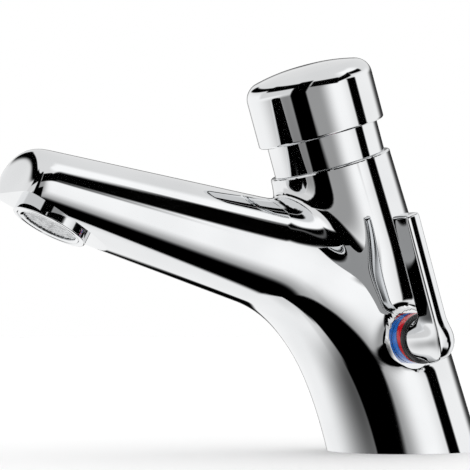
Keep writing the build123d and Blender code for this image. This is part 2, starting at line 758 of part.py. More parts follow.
# Mixing sleeve: hot and cold ports below, mixed port above, ring seals between them
mixing_sleeve_radius = mixing_bore_radius - static_gap
barrel_radius = mixing_sleeve_radius - mixing_sleeve_wall
seal_reach = inlet_passage_radius + mixing_seal_land + mixing_seal_section
seal_places = [port + reach for port in (-inlet_spacing / 2, inlet_spacing / 2)
               for reach in (-seal_reach, seal_reach)]
with BuildPart() as mixing_sleeve:
    with BuildSketch(lever_plane(-mixing_sleeve_start)):
        Circle(mixing_sleeve_radius)
        Circle(barrel_radius + running_gap, mode=Mode.SUBTRACT)
    extrude(amount=mixing_sleeve_start + mixing_sleeve_end)
    for place in seal_places:
        with BuildSketch(lever_plane(place - mixing_seal_section)):
            Circle(mixing_sleeve_radius + cut_overrun)
            Circle(mixing_bore_radius - mixing_seal_section * 2, mode=Mode.SUBTRACT)
        extrude(amount=mixing_seal_section * 2, mode=Mode.SUBTRACT)
    with BuildSketch(Plane(origin=pivot, x_dir=across, z_dir=-up_column)):
        with Locations((-inlet_spacing / 2, 0), (inlet_spacing / 2, 0)):
            Circle(inlet_passage_radius)
    extrude(amount=mixing_bore_radius, mode=Mode.SUBTRACT)
    with BuildSketch(column_plane(pivot_height)):
        Circle(mixed_passage_radius)
    extrude(amount=mixing_bore_radius, mode=Mode.SUBTRACT)
mixing_sleeve.part.label = "mixing_sleeve"
export_step(mixing_sleeve.part, "parts/mixing_sleeve.step")

with BuildPart() as mixing_ring_seals:
    for place in seal_places:
        with BuildSketch(pivot_side_view):
            with Locations((place, mixing_bore_radius - mixing_seal_section)):
                Circle(mixing_seal_section)
        revolve(axis=pivot_axis)
mixing_ring_seals.part.label = "mixing_ring_seals"
export_step(mixing_ring_seals.part, "parts/mixing_ring_seals.step")

# Mixing barrel with its stem: one slot opens towards hot while the other closes towards cold
barrel_start = mixing_sleeve_start - barrel_inset
with BuildPart() as mixing_barrel:
    with BuildSketch(lever_plane(-barrel_start)):
        Circle(barrel_radius)
    extrude(amount=barrel_start + mixing_sleeve_end - barrel_inset)
    with BuildSketch(lever_plane(0)):
        Circle(stem_radius)
    extrude(amount=stem_end)
    with BuildSketch(lever_plane(-barrel_start)):
        Circle(barrel_bore_radius)
    extrude(amount=barrel_start + inlet_spacing / 2 + inlet_passage_radius, mode=Mode.SUBTRACT)
    for place, turn in ((-inlet_spacing / 2, -lever_swing), (inlet_spacing / 2, lever_swing)):
        slot_angle = math.radians(turn)
        slot_outward = behind * math.sin(slot_angle) - up_column * math.cos(slot_angle)
        with BuildSketch(Plane(origin=pivot + across * place, x_dir=across, z_dir=slot_outward)):
            Rectangle(barrel_slot_width, barrel_radius * 2)
        extrude(amount=barrel_radius, mode=Mode.SUBTRACT)
    with BuildSketch(Plane(origin=pivot, x_dir=across, z_dir=up_column)):
        Rectangle(barrel_slot_width, barrel_radius * 2)
    extrude(amount=barrel_radius, mode=Mode.SUBTRACT)
mixing_barrel.part.label = "mixing_barrel"
export_step(mixing_barrel.part, "parts/mixing_barrel.step")

# Retaining nut with the fixed stop, and the seal round the stem
stop_free_span = 2 * lever_swing + stop_lug_span + stop_play
with BuildPart() as retaining_nut:
    with BuildSketch(lever_plane(mixing_sleeve_end)):
        Circle(mixing_bore_radius)
        Circle(stem_radius + running_gap, mode=Mode.SUBTRACT)
    extrude(amount=retaining_nut_face - mixing_sleeve_end)
    with BuildSketch(lever_plane(mixing_sleeve_end)):
        Circle(stem_radius + mixing_seal_section * 2 + running_gap)
    extrude(amount=mixing_seal_section * 2, mode=Mode.SUBTRACT)
    with BuildSketch(lever_plane(retaining_nut_face)):
        with BuildLine():
            sector(stop_dog_inner_radius, stop_dog_outer_radius, -90, 360 - stop_free_span)
        make_face()
    extrude(amount=stop_dog_height)
retaining_nut.part.label = "retaining_nut"
export_step(retaining_nut.part, "parts/retaining_nut.step")

with BuildPart() as stem_ring_seal:
    with BuildSketch(pivot_side_view):
        with Locations((mixing_sleeve_end + mixing_seal_section, stem_radius + mixing_seal_section + running_gap)):
            Circle(mixing_seal_section)
    revolve(axis=pivot_axis)
stem_ring_seal.part.label = "stem_ring_seal"
export_step(stem_ring_seal.part, "parts/stem_ring_seal.step")

# Two-colour temperature ring on the boss, and the travel stop that turns inside it
with BuildPart() as temperature_ring:
    with BuildSketch(lever_plane(boss_face)):
        Circle(temperature_ring_radius)
        Circle(temperature_ring_inner_radius, mode=Mode.SUBTRACT)
    extrude(amount=temperature_ring_width)
temperature_ring.part.label = "temperature_ring"
export_step(temperature_ring.part, "parts/temperature_ring.step")

stop_floor = retaining_nut_face + stop_dog_height + free_gap
with BuildPart() as travel_stop:
    with BuildSketch(lever_plane(stop_floor)):
        Circle(stop_dog_outer_radius)
        Circle(stem_radius, mode=Mode.SUBTRACT)
    extrude(amount=stop_top + free_gap - stop_floor)
    with BuildSketch(lever_plane(retaining_nut_face + free_gap)):
        with BuildLine():
            sector(stop_dog_inner_radius, stop_dog_outer_radius, 90, stop_lug_span)
        make_face()
    extrude(amount=stop_dog_height)
travel_stop.part.label = "travel_stop"
export_step(travel_stop.part, "parts/travel_stop.step")

# Lever: arm up the column, flared where it leaves a round-ended hub on the stem
with BuildPart() as lever:
    with BuildSketch(pivot_side_view):
        with BuildLine():
            arm_foot = arm_foot_rise - hub_radius
            corner_start = (lever_face - lever_corner_radius, arm_foot)
            corner_end = (lever_face, arm_foot + lever_corner_radius)
            RadiusArc(corner_start, corner_end, -lever_corner_radius)
            Polyline(
                corner_end,
                (lever_face, arm_length),
                (arm_inner_face, arm_length),
                (arm_inner_face, arm_foot),
                corner_start,
            )
        make_face()
    extrude(amount=arm_width / 2, both=True)
    fillet(lever.edges().filter_by(column_axis), radius=arm_edge)
    with BuildSketch(pivot_side_view):
        with BuildLine():
            dome_start = (hub_end - hub_rounding, hub_radius)
            dome_end = (hub_end, hub_radius - hub_rounding)
            Polyline(dome_end, (hub_end, 0), (hub_face, 0), (hub_face, hub_radius), dome_start)
            RadiusArc(dome_start, dome_end, hub_rounding)
        make_face()
    revolve(axis=pivot_axis)
    with BuildSketch(lever_plane(arm_inner_face)) as flare_outline:
        Circle(hub_radius - arm_foot_rise * 2)
        with Locations((0, arm_length / 4)):
            Rectangle(arm_width, arm_length / 2)
        fillet(flare_outline.vertices().group_by(Axis.Y)[-2], radius=arm_flare)
    extrude(amount=arm_flare_depth)
    with BuildSketch(lever_plane(hub_face)):
        Circle(stem_radius)
    extrude(amount=stem_end - hub_face, mode=Mode.SUBTRACT)
    with BuildSketch(grub_plane):
        Circle(grub_radius)
    extrude(amount=hub_radius + cut_overrun, mode=Mode.SUBTRACT)
lever.part.label = "lever"
export_step(lever.part, "parts/lever.step")

with BuildPart() as lever_grub_screw:
    with BuildSketch(grub_plane.offset(stem_radius)):
        Circle(grub_radius)
    extrude(amount=grub_length)
    with BuildSketch(grub_plane.offset(stem_radius + grub_length)):
        RegularPolygon(grub_socket_radius, 6)
    extrude(amount=-grub_socket_depth, mode=Mode.SUBTRACT)
lever_grub_screw.part.label = "lever_grub_screw"
export_step(lever_grub_screw.part, "parts/lever_grub_screw.step")
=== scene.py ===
import json
import math

import bmesh
import bpy
import numpy as np
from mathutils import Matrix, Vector


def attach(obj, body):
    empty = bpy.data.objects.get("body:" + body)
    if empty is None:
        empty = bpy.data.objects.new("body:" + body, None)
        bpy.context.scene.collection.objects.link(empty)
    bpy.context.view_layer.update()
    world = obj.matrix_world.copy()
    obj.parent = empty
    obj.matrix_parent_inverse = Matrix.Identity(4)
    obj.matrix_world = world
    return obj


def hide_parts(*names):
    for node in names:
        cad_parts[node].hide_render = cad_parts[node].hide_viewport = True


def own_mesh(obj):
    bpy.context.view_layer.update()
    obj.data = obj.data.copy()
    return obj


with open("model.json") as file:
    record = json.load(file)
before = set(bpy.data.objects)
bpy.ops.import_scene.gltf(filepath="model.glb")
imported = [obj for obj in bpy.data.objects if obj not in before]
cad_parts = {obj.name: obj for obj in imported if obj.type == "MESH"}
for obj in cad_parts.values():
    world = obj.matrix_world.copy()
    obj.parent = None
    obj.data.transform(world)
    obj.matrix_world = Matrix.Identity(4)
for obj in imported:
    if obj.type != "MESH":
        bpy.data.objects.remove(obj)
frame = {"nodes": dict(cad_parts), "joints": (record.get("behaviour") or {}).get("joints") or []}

# Push timed basin mixer: the chrome pieces that show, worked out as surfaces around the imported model, and a
# white studio with black flags. Metres. Every piece lies in the frame's own axes: -Y spout, +X lever, +Z up.

bl_info = {
    "name": "Push timed tap",
    "version": (1, 0, 0),
    "blender": (4, 5, 0),
    "location": "3D View > Sidebar > Tap",
    "description": "Chrome body, button, bonnet, lever, ring, outlet and studio of a push timed tap",
    "category": "Object",
}

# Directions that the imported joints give
BUTTON_PRESS = next(joint for joint in frame["joints"] if joint["name"] == "button_press")
LEVER_TURN = next(joint for joint in frame["joints"] if joint["name"] == "lever_turn")
UP_COLUMN = -np.array(BUTTON_PRESS["axis"], float)
ACROSS = np.array(LEVER_TURN["axis"], float)
BEHIND = np.cross(UP_COLUMN, ACROSS)
PIVOT = np.array(LEVER_TURN["pos_m"], float)

# Small lengths of the mesh work: a field's slope is taken over GRADIENT_STEP, points nearer than SAME_PLACE
# are one, the casting runs on by OVERRUN past its flat faces, and a cutter starts CUT_OVERRUN outside
GRADIENT_STEP = 2e-6
SAME_PLACE = 1e-8
OVERRUN = 0.006
CUT_OVERRUN = 0.001
MILLIMETRES = 1000


def length(name, value, description):
    """A size property in metres."""
    return bpy.props.FloatProperty(name=name, description=description, default=value, precision=5,
                                   subtype="DISTANCE", unit="LENGTH")


def angle(name, degrees, description):
    """An angle property, given in degrees."""
    return bpy.props.FloatProperty(name=name, description=description, default=math.radians(degrees),
                                   subtype="ANGLE", unit="ROTATION")


def share(name, value, description):
    """A plain factor."""
    return bpy.props.FloatProperty(name=name, description=description, default=value)


def count(name, value, description):
    """A whole number."""
    return bpy.props.IntProperty(name=name, description=description, default=value, min=1)


def tint(name, value, description):
    """A colour."""
    return bpy.props.FloatVectorProperty(name=name, description=description, default=value, size=3,
                                         subtype="COLOR", min=0.0, max=1.0)


class TapSizes(bpy.types.PropertyGroup):
    """Sizes of the pieces that show."""
    foot_radius: length("Foot radius", 0.023, "Column radius at the deck, square to its axis")
    collar_radius: length("Collar radius", 0.0196, "Column radius at the collar")
    collar_height: length("Collar height", 0.0964, "Along the column axis")
    collar_chamfer: length("Collar chamfer", 0.0006, "Chamfer round the collar")
    root_fillet: length("Root fillet", 0.0095, "Reach of the blend between spout and column on top")
    flank_fillet: length("Flank fillet", 0.0095, "Reach of the same blend on the flanks")
    boss_radius: length("Boss radius", 0.0084, "Boss that carries the lever")
    boss_face: length("Boss face", 0.0234, "Distance of the boss face from the column axis")
    boss_chamfer: length("Boss chamfer", 0.0002, "Chamfer round the boss face")
    boss_flare: length("Boss flare", 0.006, "Reach of the blend between boss and column")
    bend_reach: length("Bend reach", 0.06, "Reach at which the underside begins to bend down")
    bend_height: length("Bend height", 0.0478, "Height of the underside there")
    bend_radii: bpy.props.FloatVectorProperty(name="Bend radii", size=3, unit="LENGTH",
                                              default=(0.038, 0.075, 0.11),
                                              description="Radii of the underside's three bends")
    bend_turns: bpy.props.FloatVectorProperty(name="Bend turns", size=3, unit="ROTATION",
                                              default=tuple(math.radians(turn) for turn in (30, 13, 15)),
                                              description="How far each bend turns")
    under_rise: angle("Underside rise", 18.5, "Slope of the spout's underside")
    top_rise: angle("Top rise", 9.9, "Slope of the spout's top line")
    root_depth: length("Root depth", 0.03415, "Upright depth of the spout where its underside begins to bend")
    bend_swell: length("Bend swell", 0.003, "How much deeper the spout grows in its first bend")
    root_half_width: length("Root half width", 0.02, "Half width of the spout at the column")
    tip_half_width: length("Tip half width", 0.017, "Half width of the spout at its tip")
    tip_reach: length("Tip reach", 0.1408, "Reach of the tip's lower corner")
    tip_lean: angle("Tip lean", 23.0, "How far the tip's face leans back")
    tip_cone: angle("Tip cone", 12.0, "Cone round the tip, seen from inside, that gets finer rings")
    tip_middle_setback: length("Tip middle setback", 0.004, "Middle of the tip's face, behind its corner")
    tip_middle_rise: length("Tip middle rise", 0.011, "Middle of the tip's face, above its corner")
    heart_reach: length("Heart reach", 0.025, "Inner point for the casting's rays, towards the spout")
    heart_height: length("Heart height", 0.055, "Inner point for the casting's rays, above the deck")
    tip_rounding: length("Tip rounding", 0.0066, "Reach of the blend round the tip")
    outlet_setback: length("Outlet setback", 0.0167, "From the tip's lower corner to the outlet")
    landing_depth: length("Landing depth", 0.00365, "Height of the landing above the underside line")
    outlet_tilt: angle("Outlet tilt", 28.7, "Outlet axis, from straight down towards the tip")
    recess_radius: length("Foot recess radius", 0.019, "Recess under the foot")
    recess_depth: length("Foot recess depth", 0.003, "Recess under the foot")
    cartridge_seat: length("Cartridge seat", 0.055, "Floor of the cartridge bore along the column axis")
    cartridge_radius: length("Cartridge radius", 0.014, "Cartridge bore")
    bonnet_seat: length("Bonnet seat", 0.086, "Floor of the bonnet's bore along the column axis")
    outlet_depth: length("Outlet depth", 0.0095, "Bore behind the outlet ring")
    mixing_radius: length("Mixing bore radius", 0.007, "Bore in the boss")
    mixing_depth: length("Mixing bore depth", 0.0364, "Bore in the boss")
    stud_radius: length("Stud hole radius", 0.004, "Hole for the fixing stud")
    stud_depth: length("Stud hole depth", 0.009, "Hole above the recess")
    stud_setback: length("Stud hole setback", 0.011, "Behind the middle of the foot")
    inlet_radius: length("Inlet radius", 0.0045, "Holes for the hoses")
    inlet_depth: length("Inlet depth", 0.011, "Holes above the recess")
    inlet_spacing: length("Inlet spacing", 0.0136, "Between the two inlets")
    inlet_setback: length("Inlet setback", 0.00912, "In front of the middle of the foot")
    bonnet_radius: length("Bonnet radius", 0.018, "Neck under the button")
    bonnet_top: length("Bonnet top", 0.1135, "Along the column axis")
    bonnet_thread_radius: length("Bonnet thread radius", 0.0156, "Thread of the bonnet in the column")
    bonnet_thread_length: length("Bonnet thread length", 0.0104, "Length of that thread")
    bonnet_cavity_radius: length("Bonnet cavity radius", 0.011, "Well for the spring")
    bonnet_floor: length("Bonnet floor", 0.098, "Floor of that well along the column axis")
    guide_radius: length("Guide radius", 0.0055, "Bore for the guide bush")
    button_radius: length("Button radius", 0.0205, "Push button's skirt")
    button_skirt: length("Button skirt", 0.1065, "Lower edge of the skirt along the column axis")
    button_ceiling: length("Button ceiling", 0.1205, "Ceiling inside the button")
    button_travel: length("Button travel", max(BUTTON_PRESS["range_m"]), "How far the button goes down")
    spring_radius: length("Spring radius", 0.0076, "Radius of the return spring's centre line")
    spring_wire_radius: length("Spring wire radius", 0.0006, "Radius of the return spring's wire")
    spring_turns: count("Spring turns", 5, "Turns of the return spring")
    button_shoulder: length("Button shoulder", 0.126, "Height at which the crown meets the skirt")
    button_top: length("Button top", 0.1288, "Top of the crown")
    button_rounding: length("Button rounding", 0.0055, "Rounding of the button's shoulder")
    button_clearance: length("Button clearance", 0.0003, "Gap between skirt and bonnet")
    edge_rounding: length("Edge rounding", 0.0004, "Rounding of the turned pieces' edges")
    crown_flat: length("Crown flat", 0.009, "Radius at which the crown starts to fall")
    crown_radius: length("Crown radius", 0.06, "Radius of that bend")
    plunger_radius: length("Plunger radius", 0.003, "Rod under the button")
    ring_radius: length("Ring radius", 0.008, "Temperature ring")
    ring_bore: length("Ring bore", 0.0066, "Inside of the temperature ring")
    ring_width: length("Ring width", 0.006, "Temperature ring along the pivot")
    ring_border: share("Ring border", 0.5, "Where red meets blue at the pivot's height, from the boss")
    ring_border_slant: share("Ring border slant", 0.18, "How far the border moves out per metre of height")
    # Also sets the width of the painted shade at the temperature ring's outer end
    ring_groove: length("Ring groove", 0.0007, "Width of the dark line between red and blue")
    hub_radius: length("Hub radius", 0.0076, "Lever's hub")
    hub_face: length("Hub face", 0.0297, "Inner face of the hub from the column axis")
    lever_face: length("Lever face", 0.0432, "Outer face of the lever")
    arm_inner_face: length("Arm inner face", 0.0338, "Inner face of the arm")
    arm_width: length("Arm width", 0.0056, "Width of the arm")
    arm_length: length("Arm length", 0.04, "From the pivot to the arm's end")
    arm_foot: length("Arm foot", 0.0072, "From the pivot down to the arm's foot")
    arm_flare: length("Arm flare", 0.0050, "Reach of the blend between hub and arm")
    arm_crown_radius: length("Arm crown radius", 0.0118, "Radius across the arm's outer face")
    arm_crown_offset: length("Arm crown offset", 0.0031, "Shift of that face's crest towards the spout")
    lever_corner: length("Lever corner", 0.014, "Reach of the round corner under the arm")
    hub_end: length("Hub end", 0.0424, "Outer end of the hub from the column axis")
    hub_taper: angle("Hub taper", 24, "Slope of the hub's outer part")
    hub_taper_start: length("Hub taper start", 0.0318, "Where that part starts, from the column axis")
    hub_rounding: length("Hub rounding", 0.0055, "Reach of the blend round the hub's end")
    lever_edge: length("Lever edge", 0.0014, "Reach of the blend along the lever's edges")
    stem_radius: length("Stem radius", 0.004, "Stem in the lever")
    stem_seating: length("Stem seating", 0.007, "How far the stem goes in")
    grub_radius: length("Grub screw radius", 0.002, "Screw that holds the lever on its stem")
    aerator_radius: length("Aerator radius", 0.012, "Outlet ring")
    aerator_height: length("Aerator height", 0.003, "How far the ring stands out of the landing")
    aerator_thread_radius: length("Aerator thread radius", 0.011, "Part of the housing in the spout")
    aerator_thread_length: length("Aerator thread length", 0.0072, "Length of that part")
    aerator_bore: length("Aerator bore", 0.0096, "Bore of the outlet ring")
    aerator_mouth: length("Aerator mouth", 0.0088, "Mouth inside the lip")
    aerator_lip: length("Aerator lip", 0.0007, "Thickness of the lip")
    lip_groove: length("Lip groove", 0.0003, "Depth of the groove round the lip")
    gauze_pitch: length("Gauze pitch", 0.0011, "Spacing of the wires in the outlet's gauze")
    straightener_height: length("Flow straightener height", 0.0035, "Stack behind the gauze")


class TapFinish(bpy.types.PropertyGroup):
    """Colours of the finishes and light of the studio."""
    chrome: tint("Chrome", (0.86, 0.87, 0.88), "Polished chrome plate")
    chrome_veil: tint("Chrome veil", (0.8, 0.81, 0.82), "Faint dull patches in the plate")
    ring_red: tint("Ring red", (0.55, 0.008, 0.02), "Hot side of the temperature ring")
    ring_blue: tint("Ring blue", (0.02, 0.15, 0.55), "Cold side of the temperature ring")
    brass: tint("Brass", (0.72, 0.52, 0.24), "Turned brass")
    brass_dark: tint("Brass tarnish", (0.5, 0.34, 0.15), "Tarnish on the brass")
    steel: tint("Steel", (0.62, 0.62, 0.61), "Stainless steel")
    steel_dark: tint("Steel shade", (0.46, 0.46, 0.46), "Darker grain of the steel")
    # Rubber also colours the painted shade at the temperature ring's outer end
    rubber: tint("Rubber", (0.022, 0.022, 0.023), "Black rubber")
    rubber_bloom: tint("Rubber bloom", (0.05, 0.05, 0.052), "Dull bloom on the rubber")
    grey_plastic: tint("Grey plastic", (0.3, 0.31, 0.32), "Moulded grey plastic")
    white_plastic: tint("White plastic", (0.78, 0.78, 0.76), "Moulded white plastic")
    gauze: tint("Gauze", (0.72, 0.73, 0.74), "Wires of the outlet's gauze")
    floor: tint("Floor", (0.92, 0.92, 0.92), "Pale studio floor")
    floor_light: share("Floor light", 1.2, "Brightness of the studio as the floor and dull surfaces see it")
    plate_return: share("Plate return", 0.87, "Share of light that the chrome gives back")


class TapView(bpy.types.PropertyGroup):
    """Camera and floor."""
    azimuth: angle("Azimuth", 62.85, "Camera's bearing, from the front of the spout towards the lever")
    elevation: angle("Elevation", -1.651, "Camera's height as an angle, seen from the aim")
    distance: length("Distance", 0.8, "From the aim to the camera")
    aim: bpy.props.FloatVectorProperty(name="Aim", size=3, precision=5, subtype="TRANSLATION",
                                       default=(0, -0.06225, 0.06885),
                                       description="Point in the middle of the picture")
    lens: length("Lens", 0.19542, "Focal length")
    sensor: length("Sensor", 0.036, "Width of the sensor")
    floor_half: length("Floor half width", 3.0, "From the tap to the floor's edge")


# Fields: negative inside, near a distance in metres close to the surface


def smooth_union(first, second, reach):
    """The smaller field, lowered by up to a sixth of the reach where the two are equal, along a cubic."""
    near = np.maximum(reach - np.abs(first - second), 0) / reach
    return np.minimum(first, second) - near ** 3 * reach / 6


def smooth_common(first, second, reach):
    """The larger field, raised by up to a sixth of the reach where the two are equal, along a cubic."""
    return -smooth_union(-first, -second, reach)


def slope_of(field, points):
    """Unit gradient of a field at points, from central differences along each axis."""
    parts = []
    for axis in np.eye(3) * GRADIENT_STEP:
        parts.append(field(points + axis) - field(points - axis))
    gradient = np.stack(parts, -1)
    return gradient / np.linalg.norm(gradient, axis=-1, keepdims=True)


def column_field(points, s):
    """Distance from the column axis less a radius that falls evenly from foot to collar."""
    height = points @ UP_COLUMN
    away = np.linalg.norm(points - height[..., None] * UP_COLUMN, axis=-1)
    return away - (s.foot_radius + (s.collar_radius - s.foot_radius) * height / s.collar_height)


def side_direction(slope):
    """Unit vectors in the side view, square to a line of that slope and along it towards the foot."""
    square = np.array([0.0, math.sin(slope), math.cos(slope)])
    along = np.array([0.0, math.cos(slope), -math.sin(slope)])
    return square, along


def under_point(reach, s):
    """Point of the spout's straight underside at a reach."""
    return np.array([0.0, -reach, s.bend_height + (reach - s.bend_reach) * math.tan(s.under_rise)])


def neck_field(points, s):
    """Oval tube along the underside: with u from -1 on the underside to 1 on the top line and w the half
    width, the field is the norm of (x / w, u) of a power a little over 2, less 1, times a mean radius. The
    underside is a straight line and then arcs, one for each bend, and the depth grows with the distance
    travelled along them up to a fullest depth, in the first bend."""
    # soft is the reach over which width and depth start to change, and the least that they fall to. The
    # least lean keeps the depth finite where the top line runs along the arc's spoke
    power = 2.15
    soft = 0.01
    least_lean = 0.2
    start = under_point(s.bend_reach, s)
    top_start = start + np.array([0.0, 0.0, s.root_depth])
    top_square = side_direction(s.top_rise)[0]
    square, along = side_direction(s.under_rise)
    out = (start - points) @ along
    rise = (points - start) @ square
    full_depth = (top_start - start) @ top_square / (square @ top_square)
    taper = math.tan(s.under_rise - s.top_rise)
    straight = (s.tip_reach - s.bend_reach) / math.cos(s.under_rise)
    ahead = (out + np.hypot(out, soft)) / 2
    width = s.root_half_width + (s.tip_half_width - s.root_half_width) * ahead / straight
    fullest = full_depth + s.bend_swell
    slope = s.under_rise
    for bend, (radius, turn) in enumerate(zip(s.bend_radii, s.bend_turns)):
        past = (points - start) @ along > 0
        centre = start - square * radius
        spoke = points - centre
        rise = np.where(past, np.hypot(spoke[..., 1], spoke[..., 2]) - radius, rise)
        if bend == 0:
            bearing = np.arctan2(spoke[..., 1], spoke[..., 2])
            foot = centre[1:] + radius * np.stack([np.sin(bearing), np.cos(bearing)], -1)
            to_top = (top_start[1:] - foot) @ top_square[1:]
            lean = np.maximum(np.cos(bearing - s.top_rise), least_lean)
            fan = taper * (1 + full_depth / radius)
            travelled = np.where(past, radius * (s.under_rise - bearing), -out)
            deep = np.where(past, to_top / lean, full_depth - out * fan)
            depth = smooth_common(full_depth + travelled * taper, deep, soft * taper)
            depth = smooth_union(depth, fullest, s.bend_swell)
        else:
            depth = np.where(past, fullest, depth)
        slope += turn
        square, along = side_direction(slope)
        start = centre + square * radius
    past = (points - start) @ along > 0
    rise = np.where(past, (points - start) @ square, rise)
    depth = np.maximum(np.where(past, fullest, depth), soft)
    width = np.maximum(width, soft)
    level = 2 * rise / depth - 1
    norm = ((np.abs(points[..., 0]) / width) ** power + np.abs(level) ** power) ** (1 / power)
    return (norm - 1) * np.sqrt(width * depth / 2)


def tip_field(points, s):
    """Distance in front of the tip's leaning face."""
    lower = under_point(s.tip_reach, s)
    outward = np.array([0.0, -math.cos(s.tip_lean), math.sin(s.tip_lean)])
    return (points - lower) @ outward


def boss_field(points, s):
    """Round boss on the lever's side."""
    offset = points - PIVOT
    away = np.hypot(offset @ UP_COLUMN, offset @ BEHIND)
    return np.maximum(away - s.boss_radius, -offset @ ACROSS)


def body_field(points, s):
    """Column, swan neck and boss blended into one casting, run past its flat faces, which are cut later."""
    column = np.maximum(column_field(points, s), points @ UP_COLUMN - s.collar_height - OVERRUN)
    neck = smooth_common(neck_field(points, s), tip_field(points, s), s.tip_rounding)
    sideways = np.clip(np.abs(points[..., 0]) / s.root_half_width, 0, 1)
    reach = s.root_fillet + (s.flank_fillet - s.root_fillet) * sideways ** 2
    casting = smooth_union(neck, column, reach)
    boss = np.maximum(boss_field(points, s), points @ ACROSS - s.boss_face - OVERRUN)
    casting = smooth_union(casting, boss, s.boss_flare)
    return np.maximum(casting, -OVERRUN - points[..., 2])


# Meshes


def new_piece(name, body, node, mesh, material):
    """Object of a mesh that rides on a body, takes a slot and stands for a CAD node."""
    piece = bpy.data.objects.new(name, mesh)
    bpy.context.scene.collection.objects.link(piece)
    mesh.materials.append(material)
    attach(piece, body)
    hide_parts(node)
    return piece


def full_turn(steps):
    """Evenly spaced angles round a circle."""
    return np.linspace(0, 2 * math.pi, steps, endpoint=False)


def circled(turn, first, second):
    """Direction first cos(turn) + second sin(turn) for each turn."""
    return np.cos(turn)[..., None] * first + np.sin(turn)[..., None] * second


def rings_mesh(name, rings, normals):
    """Mesh of closed rings of points, with a normal for each corner. A ring that shrinks to a point becomes
    one vertex. normals has one pair for each step from ring to ring: its normals at both rings."""
    index = np.arange(rings.shape[0] * rings.shape[1]).reshape(rings.shape[:2])
    shrunk = np.ptp(rings, axis=1).max(-1) < SAME_PLACE
    index[shrunk] = index[shrunk, :1]
    after = np.roll(index, -1, axis=1)
    used, quads = np.unique(np.stack([index[:-1], after[:-1], after[1:], index[1:]], -1), return_inverse=True)
    quads = quads.reshape(-1, 4)
    low, high = normals[:, 0], normals[:, 1]
    corners = np.stack([low, np.roll(low, -1, axis=1), np.roll(high, -1, axis=1), high], -2).reshape(-1, 4, 3)
    # A corner that repeats the one before it is dropped, and so is a face with fewer than three left
    kept = quads != np.roll(quads, 1, axis=1)
    kept &= kept.sum(1, keepdims=True) >= 3
    ends = np.cumsum(kept.sum(1)[kept.any(1)])
    mesh = bpy.data.meshes.new(name)
    mesh.from_pydata(rings.reshape(-1, 3)[used], [], np.split(quads[kept], ends[:-1]))
    mesh.shade_smooth()
    mesh.normals_split_custom_set(corners[kept])
    mesh.validate()
    return mesh


def plane_turn(turn):
    """Matrix that turns a point of a plane."""
    return np.array([[math.cos(turn), -math.sin(turn)], [math.sin(turn), math.cos(turn)]])


def rounded_outline(corners, radii, pieces):
    """Points of a polyline whose corners are rounded by arcs, and for each step its two outward normals.
    An arc touches both sides at radius times the tangent of half the turn from the corner."""
    corners = np.array(corners, float)
    points = [corners[0]]
    tangents = []

    def step(target, start_tangent, end_tangent):
        if np.linalg.norm(target - points[-1]) > SAME_PLACE:
            points.append(target)
            tangents.append((start_tangent, end_tangent))

    for i in range(1, len(corners)):
        into = corners[i] - corners[i - 1]
        into = into / np.linalg.norm(into)
        radius = radii[i] if i < len(corners) - 1 else 0
        if radius == 0:
            step(corners[i], into, into)
            continue
        out = corners[i + 1] - corners[i]
        out = out / np.linalg.norm(out)
        turn = math.atan2(into[0] * out[1] - into[1] * out[0], into @ out)
        trim = radius * math.tan(abs(turn) / 2)
        step(corners[i] - into * trim, into, into)
        side = np.array([-into[1], into[0]]) * math.copysign(1, turn)
        centre = points[-1] + side * radius
        spins = [plane_turn(turn * part / pieces) for part in range(pieces + 1)]
        for before, spin in zip(spins, spins[1:]):
            step(centre - spin @ side * radius, before @ into, spin @ into)
    normals = [[(b[1], -b[0]) for b in pair] for pair in tangents]
    return np.array(points), np.array(normals)


def turned_mesh(name, origin, axis, start, corners, radii, pieces=10):
    """Surface of revolution: a rounded outline of (radius, height) carried round an axis. The point at angle
    a is origin + height axis + radius (start cos a + side sin a). Each rounding has that many pieces."""
    segments = 192
    outline, outline_normals = rounded_outline(corners, radii, pieces)
    spoke = circled(full_turn(segments), start, np.cross(axis, start))
    rings = origin + outline[:, None, 1:] * axis + outline[:, None, :1] * spoke
    normals = outline_normals[:, :, None, 1:] * axis + outline_normals[:, :, None, :1] * spoke
    return rings_mesh(name, rings, normals)


def values_of(items, key, width, kind=float):
    """One property of a mesh's vertices, corners or faces as an array, with width values a row."""
    values = np.empty(len(items) * width, kind)
    items.foreach_get(key, values)
    return values.reshape(-1, width) if width > 1 else values


def sharp_normals(mesh, field):
    """Corner normals: the field's slope on faces that lie on its surface, and the face's own elsewhere."""
    tolerance = 2e-5
    least_agreement = 0.8
    sizes = values_of(mesh.polygons, "loop_total", 1, int)
    face_of_loop = np.repeat(np.arange(len(sizes)), sizes)
    curved = np.abs(field(values_of(mesh.polygons, "center", 3))) < tolerance
    smooth = slope_of(field, values_of(mesh.vertices, "co", 3))[values_of(mesh.loops, "vertex_index", 1, int)]
    face_normal = values_of(mesh.polygons, "normal", 3)[face_of_loop]
    agree = (smooth * face_normal).sum(-1) > least_agreement
    use = (curved[face_of_loop] & agree)[:, None]
    mesh.shade_smooth()
    mesh.normals_split_custom_set(np.where(use, smooth, face_normal))


def settled(hearts, rays, field, far):
    """Where rays from inner points first leave the field: a march in even steps, then halving."""
    marks, halvings = 90, 34
    inner = np.zeros(rays.shape[:2])
    outer = np.full(rays.shape[:2], far)
    found = np.zeros(rays.shape[:2], bool)
    for mark in np.linspace(0, far, marks)[1:]:
        outside = field(hearts + rays * mark) > 0
        outer[outside & ~found] = mark
        found |= outside
        inner[~found] = mark
    for _ in range(halvings):
        middle = (inner + outer) / 2
        outside = field(hearts + rays * middle[..., None]) > 0
        outer = np.where(outside, middle, outer)
        inner = np.where(outside, inner, middle)
    return hearts + rays * ((inner + outer) / 2)[..., None]


